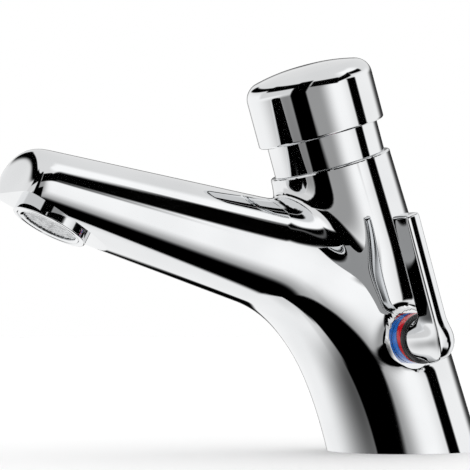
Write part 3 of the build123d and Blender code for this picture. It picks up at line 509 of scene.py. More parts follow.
def skin_mesh(name, rings):
    """Closed mesh of rings of points whose first and last ring are poles."""
    rings[0] = rings[0].mean(0)
    rings[-1] = rings[-1].mean(0)
    index = np.arange(rings.shape[0] * rings.shape[1]).reshape(rings.shape[:2])
    after = np.roll(index, -1, axis=1)
    quads = np.stack([index[:-1], index[1:], after[1:], after[:-1]], -1).reshape(-1, 4)
    mesh = bpy.data.meshes.new(name)
    mesh.from_pydata(rings.reshape(-1, 3), [], quads.tolist())
    bm = bmesh.new()
    bm.from_mesh(mesh)
    bmesh.ops.remove_doubles(bm, verts=bm.verts, dist=SAME_PLACE)
    bmesh.ops.recalc_face_normals(bm, faces=bm.faces)
    bm.to_mesh(mesh)
    bm.free()
    return mesh


def cut_flat(bm, point, normal, chosen):
    """Cuts the chosen faces along a plane, drops what is beyond it and closes the cut with one face."""
    faces = [face for face in bm.faces if chosen(face.calc_center_median())]
    corners = list(dict.fromkeys(corner for face in faces for corner in face.verts))
    edges = list(dict.fromkeys(edge for face in faces for edge in face.edges))
    cut = bmesh.ops.bisect_plane(bm, geom=corners + edges + faces, dist=SAME_PLACE, plane_co=Vector(point),
                                 plane_no=Vector(normal), clear_outer=True)
    rim = [item for item in cut["geom_cut"] if isinstance(item, bmesh.types.BMEdge) and item.is_boundary]
    lid = bmesh.ops.contextual_create(bm, geom=rim)["faces"][0]
    if any(edge.is_boundary for edge in bm.edges):
        raise RuntimeError("A flat cut left the casting open")
    bmesh.ops.recalc_face_normals(bm, faces=[lid])
    if lid.normal.dot(Vector(normal)) < 0:
        lid.normal_flip()
    return lid


def cut_away(mesh, cutters, field):
    """Mesh less each cutter in turn, with the corner normals of a solid."""
    piece = bpy.data.objects.new("piece", mesh)
    bpy.context.scene.collection.objects.link(piece)
    tools = []
    for bm in cutters:
        tool_mesh = bpy.data.meshes.new("cutter")
        bm.to_mesh(tool_mesh)
        bm.free()
        tool = bpy.data.objects.new("cutter", tool_mesh)
        bpy.context.scene.collection.objects.link(tool)
        tools.append(tool)
        cut = piece.modifiers.new("cut", "BOOLEAN")
        cut.operation = "DIFFERENCE"
        cut.solver = "EXACT"
        cut.object = tool
    bpy.context.view_layer.update()
    graph = bpy.context.evaluated_depsgraph_get()
    result = bpy.data.meshes.new_from_object(piece.evaluated_get(graph))
    for item in (piece, *tools):
        leftover = item.data
        bpy.data.objects.remove(item)
        bpy.data.meshes.remove(leftover)
    result.materials.clear()
    sharp_normals(result, field)
    return result


def cylinder(bm, point, axis, radius, depth):
    """Closed cylinder from a point along an axis, for cutting bores."""
    segments = 96
    axis = Vector(axis).normalized()
    made = bmesh.ops.create_cone(bm, cap_ends=True, segments=segments, radius1=radius, radius2=radius,
                                 depth=depth)
    turn = axis.to_track_quat("Z", "Y").to_matrix().to_4x4()
    turn.translation = Vector(point) + axis * (depth / 2)
    bmesh.ops.transform(bm, matrix=turn, verts=made["verts"])


# Materials


def new_group(name, inputs, outputs):
    """Shader node group with number inputs and their defaults, and named outputs with their socket types."""
    tree = bpy.data.node_groups.new(name, "ShaderNodeTree")
    for key, value in inputs.items():
        tree.interface.new_socket(key, in_out="INPUT", socket_type="NodeSocketFloat").default_value = value
    for key, kind in outputs.items():
        tree.interface.new_socket(key, in_out="OUTPUT", socket_type=kind)
    return tree, tree.nodes.new("NodeGroupInput").outputs, tree.nodes.new("NodeGroupOutput").inputs


def feed(tree, socket, value):
    """Links an output to a socket, or sets the socket to a plain value."""
    if isinstance(value, bpy.types.NodeSocket):
        tree.links.new(value, socket)
    else:
        socket.default_value = value


def worked(tree, operation, *values):
    """Output of a Math node on sockets or numbers."""
    node = tree.nodes.new("ShaderNodeMath")
    node.operation = operation
    for socket, value in zip(node.inputs, values):
        feed(tree, socket, value)
    return node.outputs[0]


def ranged(tree, value, start, end, low=0.0, high=1.0, smooth=True):
    """Output of a Map Range node that carries start..end to low..high."""
    node = tree.nodes.new("ShaderNodeMapRange")
    node.interpolation_type = "SMOOTHSTEP" if smooth else "LINEAR"
    keys = ("Value", "From Min", "From Max", "To Min", "To Max")
    for key, number in zip(keys, (value, start, end, low, high)):
        feed(tree, node.inputs[key], number)
    return node.outputs["Result"]


# A Mix node has sockets for every kind: the places of its factor, its two inputs and its output
MIX_SOCKETS = {"FLOAT": (0, 2, 3, 0), "RGBA": (0, 6, 7, 2)}


def blended(tree, mask, first, second, kind="RGBA"):
    """Output of a Mix node for colours or numbers; the three are sockets or plain values."""
    node = tree.nodes.new("ShaderNodeMix")
    node.data_type = kind
    *places, result = MIX_SOCKETS[kind]
    for place, value in zip(places, (mask, first, second)):
        feed(tree, node.inputs[place], value)
    return node.outputs[result]


def noise(tree, vector, scale, detail):
    """Factor of a Noise texture on a vector."""
    node = tree.nodes.new("ShaderNodeTexNoise")
    tree.links.new(vector, node.inputs["Vector"])
    feed(tree, node.inputs["Scale"], scale)
    node.inputs["Detail"].default_value = detail
    return node.outputs["Fac"]


def surface_marks():
    """Node group: broad faint patches and fine grain over a surface, as masks and a height."""
    known = bpy.data.node_groups.get("Surface marks")
    if known:
        return known
    patch_start, patch_end = 0.42, 0.68
    tree, given, result = new_group("Surface marks", {"Patch scale": 40, "Grain scale": 1500, "Stretch": 1},
                                    {"Patches": "NodeSocketFloat", "Grain": "NodeSocketFloat"})
    place = tree.nodes.new("ShaderNodeTexCoord").outputs["Object"]
    pulled = tree.nodes.new("ShaderNodeCombineXYZ")
    tree.links.new(given["Stretch"], pulled.inputs["X"])
    pulled.inputs["Y"].default_value = 1
    pulled.inputs["Z"].default_value = 1
    along = tree.nodes.new("ShaderNodeVectorMath")
    along.operation = "MULTIPLY"
    tree.links.new(place, along.inputs[0])
    tree.links.new(pulled.outputs["Vector"], along.inputs[1])
    patches = ranged(tree, noise(tree, place, given["Patch scale"], 3), patch_start, patch_end)
    tree.links.new(patches, result["Patches"])
    tree.links.new(noise(tree, along.outputs["Vector"], given["Grain scale"], 4), result["Grain"])
    return tree


def finish_material(name, first, second, metallic, smooth, rough, bump, **marks):
    """Material whose colour runs from first to second over patches, whose roughness runs from smooth to rough
    over patches and grain, and whose grain stands up by bump metres."""
    known = bpy.data.materials.get(name)
    if known:
        return known
    material = bpy.data.materials.new(name)
    material.use_nodes = True
    tree = material.node_tree
    shader = tree.nodes["Principled BSDF"]
    shader.inputs["Metallic"].default_value = metallic
    effect = tree.nodes.new("ShaderNodeGroup")
    effect.node_tree = surface_marks()
    for key, value in marks.items():
        effect.inputs[key.replace("_", " ")].default_value = value
    patches, grain = effect.outputs["Patches"], effect.outputs["Grain"]
    colour = blended(tree, patches, (*first, 1), (*second, 1))
    tree.links.new(colour, shader.inputs["Base Color"])
    half = 0.5
    worn = worked(tree, "MULTIPLY_ADD", grain, half, worked(tree, "MULTIPLY", patches, half))
    tree.links.new(ranged(tree, worn, 0.0, 1.0, smooth, rough, False), shader.inputs["Roughness"])
    raised = tree.nodes.new("ShaderNodeBump")
    raised.inputs["Strength"].default_value = 1.0
    raised.inputs["Distance"].default_value = bump
    tree.links.new(grain, raised.inputs["Height"])
    tree.links.new(raised.outputs["Normal"], shader.inputs["Normal"])
    return material


def chrome_material(finish):
    """Polished chrome plate: a mirror with a faint veil of dull patches."""
    return finish_material("Polished chrome", finish.chrome, finish.chrome_veil, 1.0, 0.015, 0.05, 2e-7,
                           Patch_scale=25, Grain_scale=900)


def brass_material(finish):
    """Turned brass, tarnished in patches, with grain pulled round the part."""
    return finish_material("Turned brass", finish.brass, finish.brass_dark, 1.0, 0.22, 0.42, 4e-6,
                           Patch_scale=90, Grain_scale=1400, Stretch=0.15)


def steel_material(finish):
    """Stainless steel with brushed grain."""
    return finish_material("Brushed stainless steel", finish.steel, finish.steel_dark, 1.0, 0.2, 0.4, 4e-6,
                           Patch_scale=120, Grain_scale=2000, Stretch=0.08)


def rubber_material(finish):
    """Black rubber with a dull bloom."""
    return finish_material("Black rubber", finish.rubber, finish.rubber_bloom, 0.0, 0.55, 0.8, 1.2e-5,
                           Patch_scale=150, Grain_scale=2500)


def plastic_material(name, colour):
    """Moulded plastic with a fine matt grain."""
    shade_share = 0.9
    shaded = [value * shade_share for value in colour]
    return finish_material(name, colour, shaded, 0.0, 0.3, 0.5, 5e-6, Patch_scale=110, Grain_scale=3000)


def gauze_material(finish):
    """Steel wires of the outlet's gauze."""
    shade_share = 0.75
    shaded = [value * shade_share for value in finish.gauze]
    return finish_material("Steel gauze", finish.gauze, shaded, 1.0, 0.28, 0.5, 2e-6,
                           Patch_scale=600, Grain_scale=4000)


def floor_material(finish):
    """Pale matt floor with the faintest patches."""
    shade_share = 0.99
    shaded = [value * shade_share for value in finish.floor]
    return finish_material("Pale floor", finish.floor, shaded, 0.0, 0.6, 0.75, 1e-5,
                           Patch_scale=4, Grain_scale=300)


def ring_material(finish, s):
    """Glossy ring, red on its outer half and blue on its column side. The border slants across the ring, so
    that red is wide above the pivot and blue is wide below it, and a dark groove parts the two. The ring's
    outer end, next to the hub, is darkened as painted shade standing in for the shadow in that gap."""
    line_strength = 0.75
    material = finish_material("Red and blue plastic", finish.ring_blue, finish.ring_blue, 0.0, 0.16, 0.3,
                               2e-6, Patch_scale=200)
    tree = material.node_tree
    shader = tree.nodes["Principled BSDF"]
    shader.inputs["Coat Weight"].default_value = 0.4
    place = tree.nodes.new("ShaderNodeSeparateXYZ")
    tree.links.new(tree.nodes.new("ShaderNodeTexCoord").outputs["Object"], place.inputs["Vector"])
    height = worked(tree, "SUBTRACT", place.outputs["Z"], float(PIVOT[2]))
    border = worked(tree, "MULTIPLY_ADD", height, s.ring_border_slant, place.outputs["X"])
    past = worked(tree, "SUBTRACT", border, s.boss_face + s.ring_width * s.ring_border)
    colour = blended(tree, ranged(tree, past, -s.ring_groove / 8, s.ring_groove / 8),
                     (*finish.ring_blue, 1), (*finish.ring_red, 1))
    # Painted shade: the ring's outer end, where it meets the hub, is turned to the rubber colour in place of
    # the shadow in that gap; the loop below adds a dark line at the red and blue border and at that end
    end = worked(tree, "SUBTRACT", place.outputs["X"], s.boss_face + s.ring_width)
    gap_shade_and_border_line = ranged(tree, end, -s.ring_groove * 1.2, -s.ring_groove)
    for edge in (past, end):
        line = ranged(tree, worked(tree, "ABSOLUTE", edge), s.ring_groove / 2, s.ring_groove / 4)
        gap_shade_and_border_line = worked(tree, "MAXIMUM", gap_shade_and_border_line, worked(tree, "MULTIPLY", line, line_strength))
    # Painted shade at the outer end and the dark border line, both in the rubber colour
    colour = blended(tree, gap_shade_and_border_line, colour, (*finish.rubber, 1))
    tree.links.new(colour, shader.inputs["Base Color"])
    return material


def slot_materials(finish):
    """Finish of each of the record's material slots."""
    return {"chrome": chrome_material(finish),
            "brass": brass_material(finish),
            "stainless": steel_material(finish),
            "black_rubber": rubber_material(finish),
            "grey_plastic": plastic_material("Grey plastic", finish.grey_plastic),
            "white_plastic": plastic_material("White plastic", finish.white_plastic)}


def scene_sizes():
    """The sizes that the pieces follow."""
    return bpy.context.scene.tap_sizes


def scene_finish():
    """The colours that the finishes take."""
    return bpy.context.scene.tap_finish


def outlet_frame(s):
    """Landing centre and the outlet's direction."""
    centre = under_point(s.tip_reach - s.outlet_setback, s) + np.array([0, 0, s.landing_depth])
    direction = np.array([0.0, -math.sin(s.outlet_tilt), -math.cos(s.outlet_tilt)])
    return centre, direction


def column_piece(name, body, node, corners, radii, pieces=10):
    """Chrome piece turned about the column's axis, from its outline of (radius, height) corners."""
    mesh = turned_mesh(name, np.zeros(3), UP_COLUMN, ACROSS, corners, radii, pieces)
    return new_piece(name, body, node, mesh, chrome_material(scene_finish()))


def lever_field(points, s):
    """Arm with a crowned outer face and a round foot, blended into a hub that tapers to its end."""
    offset = points - PIVOT
    up = offset @ UP_COLUMN
    rear = offset @ BEHIND
    out = points @ ACROSS
    crown_centre = s.lever_face - s.arm_crown_radius
    crown = np.hypot(np.maximum(out - crown_centre, 0), rear + s.arm_crown_offset) - s.arm_crown_radius
    outer = smooth_common(crown, -s.arm_foot - up, s.lever_corner)
    side = smooth_common(np.maximum(outer, s.arm_inner_face - out), up - s.arm_length, s.lever_edge)
    arm = smooth_common(side, np.abs(rear) - s.arm_width / 2, s.lever_edge)
    hub = np.hypot(up, rear) - s.hub_radius
    cone = hub * math.cos(s.hub_taper) + (out - s.hub_taper_start) * math.sin(s.hub_taper)
    hub = smooth_common(hub, cone, s.hub_rounding)
    hub = smooth_common(hub, out - s.hub_end, s.hub_rounding)
    hub = smooth_common(hub, s.hub_face - out, s.lever_edge)
    return smooth_union(arm, hub, s.arm_flare)


class TAP_OT_button(bpy.types.Operator):
    """Push button with a crowned top"""
    bl_idname = "tap.button"
    bl_label = "Push button"

    def execute(self, context):
        s = scene_sizes()
        clearance = s.button_clearance
        skirt_inside = s.bonnet_radius + clearance
        seat = s.button_ceiling + s.plunger_radius
        corners = [(0, seat), (s.plunger_radius, seat), (s.plunger_radius, s.button_ceiling),
                   (skirt_inside, s.button_ceiling), (skirt_inside, s.button_skirt),
                   (s.button_radius, s.button_skirt), (s.button_radius, s.button_shoulder),
                   (s.crown_flat, s.button_top), (0, s.button_top)]
        radii = [0, 0, 0, 0, clearance, clearance * 3, s.button_rounding, s.crown_radius, 0]
        column_piece("push_button_shell", "button", "push_button", corners, radii, pieces=14)
        return {"FINISHED"}


class TAP_OT_bonnet(bpy.types.Operator):
    """Plain neck between collar and button"""
    bl_idname = "tap.bonnet"
    bl_label = "Bonnet"

    def execute(self, context):
        s = scene_sizes()
        edge = s.edge_rounding
        base = s.collar_height - s.bonnet_thread_length
        corners = [(s.guide_radius, s.bonnet_floor), (s.guide_radius, base), (s.bonnet_thread_radius, base),
                   (s.bonnet_thread_radius, s.collar_height), (s.bonnet_radius, s.collar_height),
                   (s.bonnet_radius, s.bonnet_top), (s.bonnet_cavity_radius, s.bonnet_top),
                   (s.bonnet_cavity_radius, s.bonnet_floor), (s.guide_radius, s.bonnet_floor)]
        radii = [0, 0, edge, 0, edge / 2, edge, 0, 0, 0]
        column_piece("bonnet_neck", "root", "bonnet", corners, radii)
        return {"FINISHED"}


def spring_mesh(name, s):
    """Round wire carried along a helix. The wire's centre turns about the column's axis while it climbs
    evenly from the bonnet's floor to the button's ceiling, and its circle lies across the helix."""
    steps_a_turn, wire_sides = 48, 16
    turn = np.linspace(0, 2 * math.pi * s.spring_turns, s.spring_turns * steps_a_turn + 1)
    rise = s.button_ceiling - s.bonnet_floor - 2 * s.spring_wire_radius
    height = s.bonnet_floor + s.spring_wire_radius + rise * turn / turn[-1]
    out = circled(turn, ACROSS, BEHIND)
    centre = out * s.spring_radius + height[:, None] * UP_COLUMN
    forward = circled(turn, BEHIND, -ACROSS) * s.spring_radius + UP_COLUMN * rise / turn[-1]
    forward /= np.linalg.norm(forward, axis=1, keepdims=True)
    normals = circled(full_turn(wire_sides), out[:, None], np.cross(forward, out)[:, None])
    wire = centre[:, None] + normals * s.spring_wire_radius
    ends = [np.broadcast_to(point, wire[:1].shape) for point in (centre[0], centre[-1])]
    sides = np.stack([normals[:-1], normals[1:]], 1)
    caps = [np.broadcast_to(direction, sides[:1].shape) for direction in (-forward[0], forward[-1])]
    rings = np.concatenate([ends[0], wire, ends[1]])
    return rings_mesh(name, rings, np.concatenate([caps[0], sides, caps[1]]))


class TAP_OT_spring(bpy.types.Operator):
    """Return spring"""
    bl_idname = "tap.spring"
    bl_label = "Return spring"

    def execute(self, context):
        s = scene_sizes()
        name = "return_spring_wire"
        spring = new_piece(name, "root", "return_spring", spring_mesh(name, s),
                           steel_material(scene_finish()))
        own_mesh(spring)
        return {"FINISHED"}


class TAP_OT_lever(bpy.types.Operator):
    """Hub on the mixing stem and arm up the column. Rays leave a point that climbs from the hub to the arm's
    end. They swing up from below, keep a steady lean, close in at the end, and stop at the surface"""
    bl_idname = "tap.lever"
    bl_label = "Lever"

    def execute(self, context):
        s = scene_sizes()

        def field(points):
            return lever_field(points, s)

        low_heart = PIVOT + ACROSS * (s.arm_inner_face + s.lever_face) / 2
        climb = UP_COLUMN * (s.arm_length - s.arm_width)
        foot_rings, arm_rings, end_rings, around = 110, 120, 40, 224
        lean = math.pi / 4
        tilt = np.concatenate([np.linspace(math.pi, lean, foot_rings), np.full(arm_rings, lean),
                               np.linspace(lean, 0, end_rings)])
        climbed = np.concatenate([np.zeros(foot_rings), np.linspace(0, 1, arm_rings + 2)[1:-1],
                                  np.ones(end_rings)])
        rays = circled(tilt[:, None], UP_COLUMN, circled(full_turn(around), ACROSS, BEHIND))
        hearts = low_heart + climbed[:, None, None] * climb
        longest_ray = 0.024
        mesh = skin_mesh("lever", settled(hearts, rays, field, longest_ray))
        cutter = bmesh.new()
        cylinder(cutter, PIVOT + ACROSS * (s.hub_face - CUT_OVERRUN), ACROSS, s.stem_radius,
                 s.stem_seating + CUT_OVERRUN)
        grub_place = s.hub_face + s.stem_seating / 2
        cylinder(cutter, PIVOT + ACROSS * grub_place, BEHIND, s.grub_radius, s.hub_radius + CUT_OVERRUN)
        mesh = cut_away(mesh, [cutter], field)
        new_piece("mixing_lever", "lever_body", "lever", mesh, chrome_material(scene_finish()))
        return {"FINISHED"}


class TAP_OT_ring(bpy.types.Operator):
    """Red and blue temperature ring"""
    bl_idname = "tap.ring"
    bl_label = "Temperature ring"

    def execute(self, context):
        s = scene_sizes()
        edge = s.edge_rounding
        outer = s.boss_face + s.ring_width
        corners = [(s.ring_bore, outer), (s.ring_bore, s.boss_face), (s.ring_radius, s.boss_face),
                   (s.ring_radius, outer), (s.ring_bore, outer)]
        radii = [0, 0, edge, edge, 0]
        # The ring's red and blue, with painted shade at its outer end
        name = "temperature_ring_marks"
        mesh = turned_mesh(name, PIVOT, ACROSS, UP_COLUMN, corners, radii)
        new_piece(name, "root", "temperature_ring", mesh, ring_material(scene_finish(), s))
        return {"FINISHED"}


class TAP_OT_outlet(bpy.types.Operator):
    """Outlet ring with the gauze inside it"""
    bl_idname = "tap.outlet"
    bl_label = "Outlet"

    def execute(self, context):
        s = scene_sizes()
        landing, outlet = outlet_frame(s)
        edge = s.edge_rounding
        groove = s.lip_groove
        top = s.aerator_height
        inner_rim = s.aerator_radius - edge * 3
        back = -s.aerator_thread_length
        lip = top - s.aerator_lip
        corners = [(s.aerator_bore, back), (s.aerator_thread_radius, back), (s.aerator_thread_radius, 0),
                   (s.aerator_radius, 0), (s.aerator_radius, top), (inner_rim, top),
                   (inner_rim - groove, top - groove), (inner_rim - groove * 2, top - groove),
                   (inner_rim - groove * 3, top), (s.aerator_bore, top),
                   (s.aerator_mouth, top - s.aerator_lip / 2), (s.aerator_mouth, lip), (s.aerator_bore, lip),
                   (s.aerator_bore, back)]
        radii = [0, edge, 0, 0, edge, 0, 0, 0, edge, edge, 0, 0, 0, 0]
        mesh = turned_mesh("outlet_ring", landing, outlet, ACROSS, corners, radii)
        new_piece("outlet_ring", "root", "aerator_housing", mesh, chrome_material(scene_finish()))
        self.gauze(s, landing, outlet)
        return {"FINISHED"}

    def gauze(self, s, landing, outlet):
        """Woven gauze: over a square grid the height is the higher of two families of round wires, each of
        which rises and falls along its length as it passes over and under the other. The grid is cut to a
        disc, and walls round its rim join it to a flat back."""
        steps = 150
        reach = s.aerator_bore
        side = np.cross(outlet, ACROSS)
        spread = np.linspace(-reach, reach, steps)
        east, north = np.meshgrid(spread, spread, indexing="ij")
        wire = s.gauze_pitch / 4
        east_wave, north_wave = (np.cos(math.pi / s.gauze_pitch * place) for place in (east, north))
        across_wires = np.abs(east_wave) * wire + north_wave * np.sign(east_wave) * wire / 2
        along_wires = np.abs(north_wave) * wire - east_wave * np.sign(north_wave) * wire / 2
        level = s.aerator_height - s.aerator_lip - wire * 2
        height = level + np.maximum(across_wires, along_wires)
        points = landing + outlet * height[..., None] + ACROSS * east[..., None] + side * north[..., None]
        inside = np.hypot(east, north) < reach - s.gauze_pitch / 8
        index = np.arange(steps * steps).reshape(steps, steps)
        quads = np.stack([index[:-1, :-1], index[1:, :-1], index[1:, 1:], index[:-1, 1:]], -1)
        kept = inside[:-1, :-1] & inside[1:, :-1] & inside[1:, 1:] & inside[:-1, 1:]
        used, quads = np.unique(quads[kept], return_inverse=True)
        quads = quads.reshape(-1, 4)
        front = points.reshape(-1, 3)[used]
        shift = len(front)
        back_level = level - s.straightener_height + wire
        back = front - ((front - landing) @ outlet - back_level)[:, None] * outlet
        # An edge is on the rim where no face has it the other way round
        edges = np.stack([quads, np.roll(quads, -1, axis=1)], -1).reshape(-1, 2)
        rim = edges[~np.isin(edges @ (shift, 1), edges @ (1, shift))]
        walls = np.concatenate([rim[:, ::-1], rim + shift], 1)
        faces = np.concatenate([quads, quads[:, ::-1] + shift, walls])
        mesh = bpy.data.meshes.new("outlet_gauze")
        mesh.from_pydata(np.concatenate([front, back]), [], faces.tolist())
        mesh.shade_smooth()
        new_piece("outlet_gauze", "root", "flow_straightener", mesh,
                  gauze_material(scene_finish()))


class TAP_OT_body(bpy.types.Operator):
    """Chrome casting: column, swan neck and boss. Rays leave one inner point in rings round the line to the
    tip, evenly spaced along the surface and closer near the tip, and stop at the surface"""
    bl_idname = "tap.body"
    bl_label = "Body"

    def execute(self, context):
        s = scene_sizes()

        def field(points):
            return body_field(points, s)

        heart = np.array([0.0, -s.heart_reach, s.heart_height])
        tip_middle = under_point(s.tip_reach, s) + np.array([0, s.tip_middle_setback, s.tip_middle_rise])
        pole = (tip_middle - heart) / np.linalg.norm(tip_middle - heart)
        longest_ray = 0.2
        rings, around = 360, 256
        trial_rings, trial_around, tip_closeness = rings * 6, 8, 2

        def surface(polar, spokes):
            spoke = circled(full_turn(spokes), ACROSS, np.cross(pole, ACROSS))
            return settled(heart, circled(polar[:, None], pole, spoke), field, longest_ray)

        trial = np.linspace(0, math.pi, trial_rings)
        run = np.linalg.norm(np.diff(surface(trial, trial_around), axis=0), axis=-1).max(1)
        run *= 1 + tip_closeness * np.exp(-(trial[1:] / s.tip_cone) ** 2)
        travelled = np.concatenate([[0], np.cumsum(run)])
        polar = np.interp(np.linspace(0, travelled[-1], rings), travelled, trial)
        mesh = skin_mesh("body", surface(polar, around))
        landing, outlet = outlet_frame(s)
        bm = bmesh.new()
        bm.from_mesh(mesh)
        self.flats(bm, s, landing, outlet)
        bm.to_mesh(mesh)
        bm.free()
        mesh = cut_away(mesh, self.bores(s, landing, outlet), field)
        new_piece("chrome_body", "root", "body", mesh, chrome_material(scene_finish()))
        return {"FINISHED"}

    def flats(self, bm, s, landing, outlet):
        """Cuts the foot, collar, boss face and landing flat, and breaks the edges of collar and boss."""
        up, across, pivot = Vector(UP_COLUMN), Vector(ACROSS), Vector(PIVOT)
        near_collar = s.collar_height - OVERRUN
        near_boss = s.boss_radius + s.boss_flare
        near_outlet = s.tip_reach - 3 * s.outlet_setback
        cut_flat(bm, (0, 0, 0), (0, 0, -1), lambda c: c.z < OVERRUN)
        collar = cut_flat(bm, up * s.collar_height, up,
                          lambda c: c.dot(up) > near_collar and c.cross(up).length < s.foot_radius)
        rim = cut_flat(bm, across * s.boss_face, across,
                       lambda c: c.x > 0 and (c - pivot).cross(across).length < near_boss)
        cut_flat(bm, landing, outlet, lambda c: c.y < -near_outlet)
        for lid, chamfer, segments in ((collar, s.collar_chamfer, 3), (rim, s.boss_chamfer, 2)):
            bmesh.ops.bevel(bm, geom=lid.edges[:], offset=chamfer, segments=segments, profile=0.5,
                            affect="EDGES")

    def bores(self, s, landing, outlet):
        """Hollows of the casting: foot recess, cartridge bores, outlet, mixing bore, stud hole and inlets."""
        overrun = CUT_OVERRUN
        boss = PIVOT + ACROSS * s.boss_face
        up = (0, 0, 1)
        first = bmesh.new()
        cylinder(first, (0, 0, -overrun), up, s.recess_radius, s.recess_depth + overrun)
        cylinder(first, UP_COLUMN * s.bonnet_seat, UP_COLUMN, s.bonnet_thread_radius,
                 s.collar_height - s.bonnet_seat + overrun)
        second = bmesh.new()
        cylinder(second, UP_COLUMN * s.cartridge_seat, UP_COLUMN, s.cartridge_radius,
                 s.bonnet_seat - s.cartridge_seat + overrun / 5)
        cylinder(second, landing + outlet * overrun, -outlet, s.aerator_thread_radius,
                 s.outlet_depth + overrun)
        cylinder(second, boss + ACROSS * overrun, -ACROSS, s.mixing_radius, s.mixing_depth + overrun)
        low = s.recess_depth - overrun
        cylinder(second, (0, s.stud_setback, low), up, s.stud_radius, s.stud_depth + overrun)
        for side in (-1, 1):
            cylinder(second, (side * s.inlet_spacing / 2, -s.inlet_setback, low), up, s.inlet_radius,
                     s.inlet_depth + overrun)
        return [first, second]


class TAP_OT_fittings(bpy.types.Operator):
    """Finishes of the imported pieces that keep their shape"""
    bl_idname = "tap.fittings"
    bl_label = "Cartridge, seals and fixing"

    def execute(self, context):
        finishes = slot_materials(scene_finish())
        for node in frame["nodes"].values():
            for slot in node.material_slots:
                if slot.material and slot.material.name in finishes:
                    slot.material = finishes[slot.material.name]
        return {"FINISHED"}


# Studio. Each card: centre azimuth from the camera's and elevation, half width and half height, how far its
# sides slant and its top tilts, the softness of its sides and of its top, all in degrees, then its tone.

BASE_TONE = 0.85
CARDS = (
    ("left light", -120, -30, 62, 46, 0, 0, 14, 20, 0.94),
    ("left shade", -38, -33, 45, 16, 0, 0, 90, 30, 0.30),
    ("left inner light", -75, 10, 32, 12, 0, 0, 10, 8, 0.82),
    ("front grey", 5, -10, 30, 30, 0, 0, 50, 10, 0.58),
    ("right white", 46, -12, 18, 36, 0, 0, 30, 34, 0.97),
    ("low right shade", 60, -70, 60, 14, 0, 0, 20, 50, 0.45),
    ("rear white", 112, 0, 28, 26, 0, 0, 20, 10, 0.93),
    ("rear grey", 165, 4, 26, 10, 0, 0, 26, 10, 0.22),
    ("upper white", 86, 52, 30, 10, 0, 0, 30, 10, 0.98),
    ("low rear flag", 105, -48, 40, 16, 0, 0, 10, 14, 0.01),
    ("right flag", 82, 2, 10, 14, -0.35, 0, 5, 6, 0.0),
    ("right low flag", 102, -22, 10, 14, -1.0, 0, 8, 8, 0.01),
    ("left arch", -125, 28.5, 30, 5.5, 0, 0.2, 6, 4, 0.0),
    ("middle arch", -55, 34, 42, 11, 0, 0.03, 6, 5, 0.0),
    ("front arch", 22, 24, 27, 15, 0, -0.12, 6, 5, 0.0),
    ("right arch", 62, 28, 17, 10.5, 0, 0.5, 6, 5, 0.0),
    ("rear arch", 98, 38, 18, 6, 0, -0.1, 8, 5, 0.0),
    ("front flag", -23, 5, 14.5, 45, 0, 0, 4, 8, 0.0),
    ("low front flag", -8, -45, 25, 30.5, 0, 0, 5, 3, 0.0),
    ("floor flag", 70, -80, 110, 15, 0, 0, 12, 14, 0.0),
    ("rear edge flag", -178, -19, 7, 10, 0, 0, 3, 6, 0.02),
)
CARD_INPUTS = ("Centre azimuth", "Centre elevation", "Half width", "Half height", "Slant", "Tilt",
               "Soft sides", "Soft top")


def card_group():
    """Node group: how far a direction lies on a card, with smooth edges."""
    tree, given, result = new_group("Card", dict.fromkeys(("Azimuth", "Elevation") + CARD_INPUTS, 0.0),
                                    {"Mask": "NodeSocketFloat"})
    half, half_turn = 0.5, 180.0
    across = worked(tree, "SUBTRACT", given["Azimuth"], given["Centre azimuth"])
    across = worked(tree, "WRAP", across, half_turn, -half_turn)
    above = worked(tree, "SUBTRACT", given["Elevation"], given["Centre elevation"])

    def covered(distance, other, lean, reach, soft):
        moved = worked(tree, "SUBTRACT", distance, worked(tree, "MULTIPLY", other, lean))
        past = worked(tree, "SUBTRACT", worked(tree, "ABSOLUTE", moved), reach)
        return ranged(tree, past, worked(tree, "MULTIPLY", soft, half), worked(tree, "MULTIPLY", soft, -half))

    sides = covered(across, above, given["Slant"], given["Half width"], given["Soft sides"])
    ends = covered(above, across, given["Tilt"], given["Half height"], given["Soft top"])
    tree.links.new(worked(tree, "MULTIPLY", sides, ends), result["Mask"])
    return tree


def studio_world(finish, azimuth):
    """World: the cards for reflections, even light for dull surfaces, and white behind the tap."""
    world = bpy.data.worlds.new("Studio")
    world.use_nodes = True
    tree = world.node_tree
    ray = tree.nodes.new("ShaderNodeTexCoord").outputs["Generated"]

    def towards(direction):
        node = tree.nodes.new("ShaderNodeVectorMath")
        node.operation = "DOT_PRODUCT"
        tree.links.new(ray, node.inputs[0])
        node.inputs[1].default_value = direction
        return node.outputs["Value"]

    ahead = towards((math.sin(azimuth), -math.cos(azimuth), 0))
    aside = towards((math.cos(azimuth), math.sin(azimuth), 0))
    turned = worked(tree, "DEGREES", worked(tree, "ARCTAN2", aside, ahead))
    raised = worked(tree, "DEGREES", worked(tree, "ARCSINE", towards((0, 0, 1))))
    group = card_group()
    tone = BASE_TONE
    for name, *settings, card_tone in CARDS:
        card = tree.nodes.new("ShaderNodeGroup")
        card.node_tree = group
        card.label = name
        tree.links.new(turned, card.inputs["Azimuth"])
        tree.links.new(raised, card.inputs["Elevation"])
        for key, value in zip(CARD_INPUTS, settings):
            card.inputs[key].default_value = value
        tone = blended(tree, card.outputs["Mask"], tone, card_tone, "FLOAT")
    display_power = 2.2
    light = worked(tree, "DIVIDE", worked(tree, "POWER", tone, display_power), finish.plate_return)
    path = tree.nodes.new("ShaderNodeLightPath").outputs
    even = (finish.floor_light, finish.floor_light, finish.floor_light, 1)
    colour = blended(tree, path["Is Glossy Ray"], even, light)
    colour = blended(tree, path["Is Camera Ray"], colour, (1, 1, 1, 1))
    tree.links.new(colour, tree.nodes["Background"].inputs["Color"])
    return world


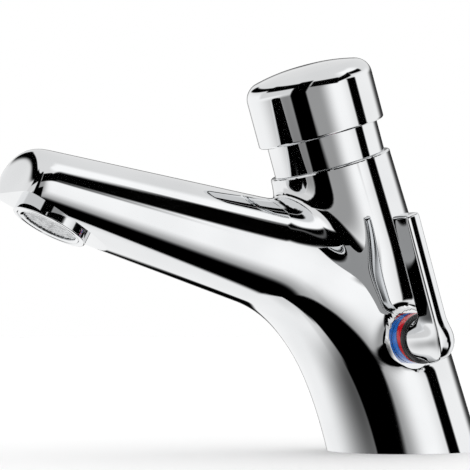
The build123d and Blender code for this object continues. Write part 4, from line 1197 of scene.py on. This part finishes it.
class TAP_OT_stage(bpy.types.Operator):
    """Floor, studio and camera"""
    bl_idname = "tap.stage"
    bl_label = "Studio"

    def execute(self, context):
        finish = scene_finish()
        view = context.scene.tap_view
        half = view.floor_half
        mesh = bpy.data.meshes.new("floor")
        mesh.from_pydata([(-half, -half, 0), (half, -half, 0), (half, half, 0), (-half, half, 0)], [],
                         [(0, 1, 2, 3)])
        mesh.materials.append(floor_material(finish))
        floor = bpy.data.objects.new("floor", mesh)
        context.scene.collection.objects.link(floor)
        floor.visible_glossy = False
        camera_data = bpy.data.cameras.new("camera")
        camera_data.lens = view.lens * MILLIMETRES
        camera_data.sensor_width = view.sensor * MILLIMETRES
        camera = bpy.data.objects.new("camera", camera_data)
        context.scene.collection.objects.link(camera)
        level = math.cos(view.elevation)
        away = Vector((math.sin(view.azimuth) * level, -math.cos(view.azimuth) * level,
                       math.sin(view.elevation)))
        camera.location = Vector(view.aim) + away * view.distance
        camera.rotation_euler = (-away).to_track_quat("-Z", "Y").to_euler()
        context.scene.camera = camera
        context.scene.world = studio_world(finish, view.azimuth)
        context.scene.view_settings.view_transform = "Standard"
        return {"FINISHED"}


OPERATORS = (TAP_OT_body, TAP_OT_bonnet, TAP_OT_button, TAP_OT_spring, TAP_OT_lever, TAP_OT_ring,
             TAP_OT_outlet, TAP_OT_fittings, TAP_OT_stage)


class TAP_PT_pieces(bpy.types.Panel):
    """Lists the tap's pieces"""
    bl_label = "Push timed tap"
    bl_idname = "TAP_PT_pieces"
    bl_space_type = "VIEW_3D"
    bl_region_type = "UI"
    bl_category = "Tap"

    def draw(self, context):
        column = self.layout.column()
        for operator in OPERATORS:
            column.operator(operator.bl_idname)


GROUPS = {"tap_sizes": TapSizes, "tap_finish": TapFinish, "tap_view": TapView}
CLASSES = (*GROUPS.values(), *OPERATORS, TAP_PT_pieces)


def register():
    for cls in CLASSES:
        bpy.utils.register_class(cls)
    for name, group in GROUPS.items():
        setattr(bpy.types.Scene, name, bpy.props.PointerProperty(type=group))


def unregister():
    for name in GROUPS:
        delattr(bpy.types.Scene, name)
    for cls in reversed(CLASSES):
        bpy.utils.unregister_class(cls)


def main():
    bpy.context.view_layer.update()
    register()
    bpy.ops.tap.body()
    bpy.ops.tap.bonnet()
    bpy.ops.tap.button()
    bpy.ops.tap.spring()
    bpy.ops.tap.lever()
    bpy.ops.tap.ring()
    bpy.ops.tap.outlet()
    bpy.ops.tap.fittings()
    bpy.ops.tap.stage()


if __name__ == "__main__":
    main()
